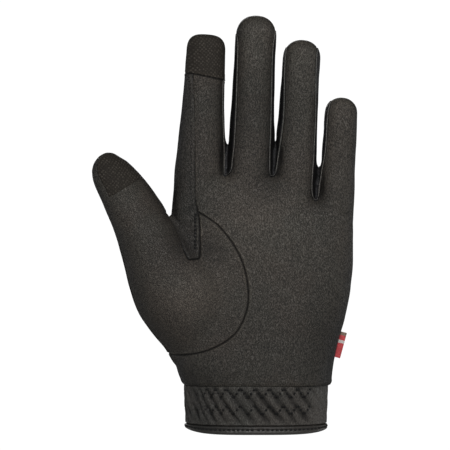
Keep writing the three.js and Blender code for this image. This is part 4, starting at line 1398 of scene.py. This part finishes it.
def laid_on(piece, flat_path):
    """A path in the plane of the palm laid on a piece's front, with the surface's normals."""
    points, faces = triangles_of(piece.data)
    tree = BVHTree.FromPolygons([Vector(p) for p in points], [tuple(f) for f in faces.tolist()])
    hits = [tree.ray_cast(Vector((x * MM, -0.2, z * MM)), Vector((0, 1, 0))) for x, z in flat_path]
    places = np.array([hit[0] for hit in hits if hit[0] is not None]) / MM
    normals = np.array([hit[1] for hit in hits if hit[0] is not None])
    for _ in range(3):
        normals[1:-1] = (normals[:-2] + normals[1:-1] + normals[2:]) / 3
    return places, normals / np.linalg.norm(normals, axis=1)[:, None]


def cuff_stitches():
    """Each leg of the zig-zags as a few stout dots of thread, sunk where the crowded gathers hide them."""
    wrist_runs = np.linspace(-WRIST_LENGTH / 2, WRIST_LENGTH / 2 - 0.01, 4000)
    counts = gathers_passed(wrist_runs)
    share = np.linspace(0, 1, 40)
    for number, row in enumerate(ZIGZAG_ROWS, 1):
        parts = []
        for leg in range(math.ceil(2 * counts[0]), math.floor(2 * counts[-1])):
            run = np.interp((leg + share) / 2, counts, wrist_runs)
            middle_run = run[20]
            if gathered_share(middle_run) < 0.35:
                continue
            start, end = row if leg % 2 == 0 else row[::-1]
            heights = start + (end - start) * share
            out = gather_height(run, heights)
            path = on_wrist(run, out, heights)
            normal = on_wrist(run, out + 1, heights) - path
            along = run_along(path)
            step = along[-1] / ZIGZAG_DOTS
            hidden = 0.9 * between(-middle_run, 25, 34, 58, 66)
            height = 0.22 - hidden - 0.3 * np.linspace(-1, 1, 6) ** 4
            for k in range(ZIGZAG_DOTS):
                places = np.linspace((k + 0.37) * step, (k + 0.63) * step, 6)
                middle = at_places(places, along, path) + at_places(places, along, normal) * height[:, None]
                parts.append(tube(middle, ZIGZAG_DOT_RADIUS))
        finished_piece(f"cuff_zigzag_{number}", *merged(parts), [BLACK_THREAD], "side_leather")


def hem_stitches():
    run = np.arange(0, WRIST_LENGTH, 0.2)
    path = on_hem(run, 0.0, HEM_STITCH_HEIGHT)
    normals = on_hem(run, 1.0, HEM_STITCH_HEIGHT) - path
    normals /= np.linalg.norm(normals, axis=1)[:, None]
    stitch_row("hem_stitches", path, normals, 1.6, HEM_STITCH_PITCH, 0.42, 0.05)


# Stitch rows of the index side panel, in millimetres across and up
TONGUE_STITCHES = [(-30.6, 111.7), (-30.7, 107.6), (-30.7, 102.5), (-30.8, 96.9), (-30.9, 92.8)]
INDEX_SIDE_STITCHES = [
    (-34.4, 181.6), (-33.5, 169.8), (-33.0, 154.5), (-32.9, 139.2), (-33.0, 123.9), (-32.1, 116.3),
    (-30.8, 112.7),
]


def index_side_panel_stitches(panel):
    """Stout dots down the tongue, and above them a fine row that is almost buried."""
    path, normals = laid_on(panel, evenly(through_points(TONGUE_STITCHES, 6), 0.4))
    stitch_row("tongue_stitches", path, normals, 0.3, 1.9, 0.72, -0.1)
    path, normals = laid_on(panel, evenly(through_points(INDEX_SIDE_STITCHES, 6), 0.5))
    stitch_row("index_side_stitches", path, normals, 1.0, 1.9, 0.22, 0.14)


def ordered_rims(skin):
    """The panel's edge as closed chains of points, in order."""
    following = dict(rim_sides(skin.faces, len(skin.points)).tolist())
    chains = []
    while following:
        start = next(iter(following))
        chain = [start]
        place = following.pop(start)
        while place in following:
            chain.append(place)
            place = following.pop(place)
        chains.append(chain)
    return chains


def strip_piping(name, skin):
    """The sewn edge that stands up round a side strip and catches the light."""
    parts = []
    for chain in ordered_rims(skin):
        if len(chain) < 40:
            continue
        path = relaxed(skin.points[chain] + skin.normals[chain] * 0.1)
        path = evenly(np.vstack([path, path[:1]]), 0.6)[:-1]
        for _ in range(6):
            path = (np.roll(path, 1, 0) + 2 * path + np.roll(path, -1, 0)) / 4
        path = np.vstack([path, path[:1]])
        low = path[:, 2].min()
        widths = 0.12 + 0.16 * smooth_step(path[:, 2], low + 0.5, low + 5)
        parts.append(tube(path, widths, 7, False))
    points, faces = merged(parts)
    return finished_piece(name, points, faces, [PIPING_LEATHER], "grained_leather", (), None,
                          leather_masks(len(points)))


def side_label():
    """A folded woven tape that stands out of the side seam."""
    lowest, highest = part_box("side_label")
    middle = (np.array(lowest) + np.array(highest)) / 2 / MM
    slant = math.atan2((0.493 - 0.452) * PALM_WIDTH, 0.13 * PALM_LENGTH)
    half_height, half_width = 6.7, 2.3
    section = [(-half_width, 0.42), (0, 0.42), (half_width - 0.5, 0.4), (half_width - 0.12, 0.26)]
    section += [(half_width, 0)] + [(across, -thick) for across, thick in section[::-1]]
    rings = []
    ups = np.linspace(-half_height, half_height, 40)
    for up in ups:
        wave = 0.25 * math.sin(up * 0.5) + 0.12 * math.sin(up * 1.3 + 1)
        ring = []
        for across, thick in section:
            bow = wave * (across + half_width) / (2 * half_width)
            x = middle[0] + across * math.cos(slant) + up * math.sin(slant)
            z = middle[2] - across * math.sin(slant) + up * math.cos(slant)
            ring.append((x, middle[1] + thick + bow, z))
        rings.append(ring[::-1])
    points, faces = outward_faces(*closed_loft(np.array(rings)))
    shares = np.concatenate([np.repeat((ups + half_height) / (2 * half_height), len(section)), [0, 1]])
    return finished_piece("side_label_tape", points, faces, [LABEL], "label_weave", ["side_label"], None,
                          {"up_label": shares})


# Making the glove

def hand_skin():
    """The outside of the gloved hand, before it is cut."""
    points, faces = joined_hand(0.77)
    normals = point_normals(points, faces)
    points = points + normals * hand_relief(points, normals)[:, None]
    return Skin(points, point_normals(points, faces), faces)


def horse_riding_glove():
    panels = glove_panels(hand_skin())
    made = {name: sewn_panel(name, skin) for name, skin in panels.items()}
    for name, skin in panels.items():
        if name.startswith("fourchette"):
            strip_piping(name.replace("fourchette", "piping"), skin)
    gathered_cuff()
    rolled_hem()
    cuff_stitches()
    hem_stitches()
    side_label()
    index_side_panel_stitches(made["index_side_panel"])


# Studio

# Place in metres, height aimed at, size, watts
LIGHTS = [
    ("key", (0.1, -1.5, 0.42), 0.11, 0.5, 7.5),
    ("near_key", (0.06, -0.42, 0.4), 0.13, 0.25, 1.0),
    ("left_rim", (-1.2, 0.45, 0.2), 0.1, 0.5, 2.2),
    ("right_rim", (1.2, 0.4, -0.02), 0.07, 0.5, 4.0),
    ("back_fill", (-0.2, 1.5, 0.75), 0.1, 0.8, 8),
]
# The camera looks square on at the palm. The framed width is what it sees at the glove.
CAMERA_PLACE = (-0.0158, -1.6, 0.106)
FRAMED_WIDTH = 0.2295
SENSOR_WIDTH = 36


def area_light(name, place, aim, size, power):
    light = bpy.data.lights.new(name, "AREA")
    light.shape, light.size, light.energy = "DISK", size, power
    lamp = bpy.data.objects.new(name, light)
    lamp.location = place
    lamp.rotation_euler = (Vector(aim) - Vector(place)).to_track_quat("-Z", "Y").to_euler()
    scene.collection.objects.link(lamp)


def studio():
    world = bpy.data.worlds.new("studio")
    world.use_nodes = True
    tree = world.node_tree
    tree.nodes.clear()
    n = Nodes(tree)
    soft = n.add("ShaderNodeBackground", Color=(1, 1, 1, 1), Strength=0.03)
    bright = n.add("ShaderNodeBackground", Color=(1, 1, 1, 1), Strength=1.05)
    seen = n.add("ShaderNodeLightPath").outputs["Is Camera Ray"]
    mix = n.add("ShaderNodeMixShader", i0=seen, i1=soft, i2=bright)
    n.add("ShaderNodeOutputWorld", Surface=mix)
    scene.world = world

    floor_mesh = bpy.data.meshes.new("floor")
    corners = [(-3, -3, -0.1), (3, -3, -0.1), (3, 0.9, -0.1), (-3, 0.9, -0.1)]
    floor_mesh.from_pydata(corners, [], [(0, 1, 2, 3)])
    material, n, shader = new_material("pale_floor")
    shader.inputs["Base Color"].default_value = (0.6, 0.6, 0.59, 1)
    shader.inputs["Roughness"].default_value = 0.9
    shader.inputs["Emission Color"].default_value = (0.8, 0.8, 0.79, 1)
    seen = n.add("ShaderNodeLightPath").outputs["Is Camera Ray"]
    n.feed(shader.inputs["Emission Strength"], n.maths("MULTIPLY", seen, 0.75))
    floor_mesh.materials.append(material)
    floor = bpy.data.objects.new("floor", floor_mesh)
    scene.collection.objects.link(floor)

    for name, place, aim_height, size, power in LIGHTS:
        area_light(name, place, (0, 0, aim_height), size, power)

    camera = bpy.data.cameras.new("camera")
    camera.lens = SENSOR_WIDTH * -CAMERA_PLACE[1] / FRAMED_WIDTH
    camera.clip_start = 0.01
    eye = bpy.data.objects.new("camera", camera)
    eye.location = CAMERA_PLACE
    eye.rotation_euler = (math.pi / 2, 0, 0)
    scene.collection.objects.link(eye)
    scene.camera = eye
    scene.view_settings.view_transform = "Standard"


horse_riding_glove()
studio()
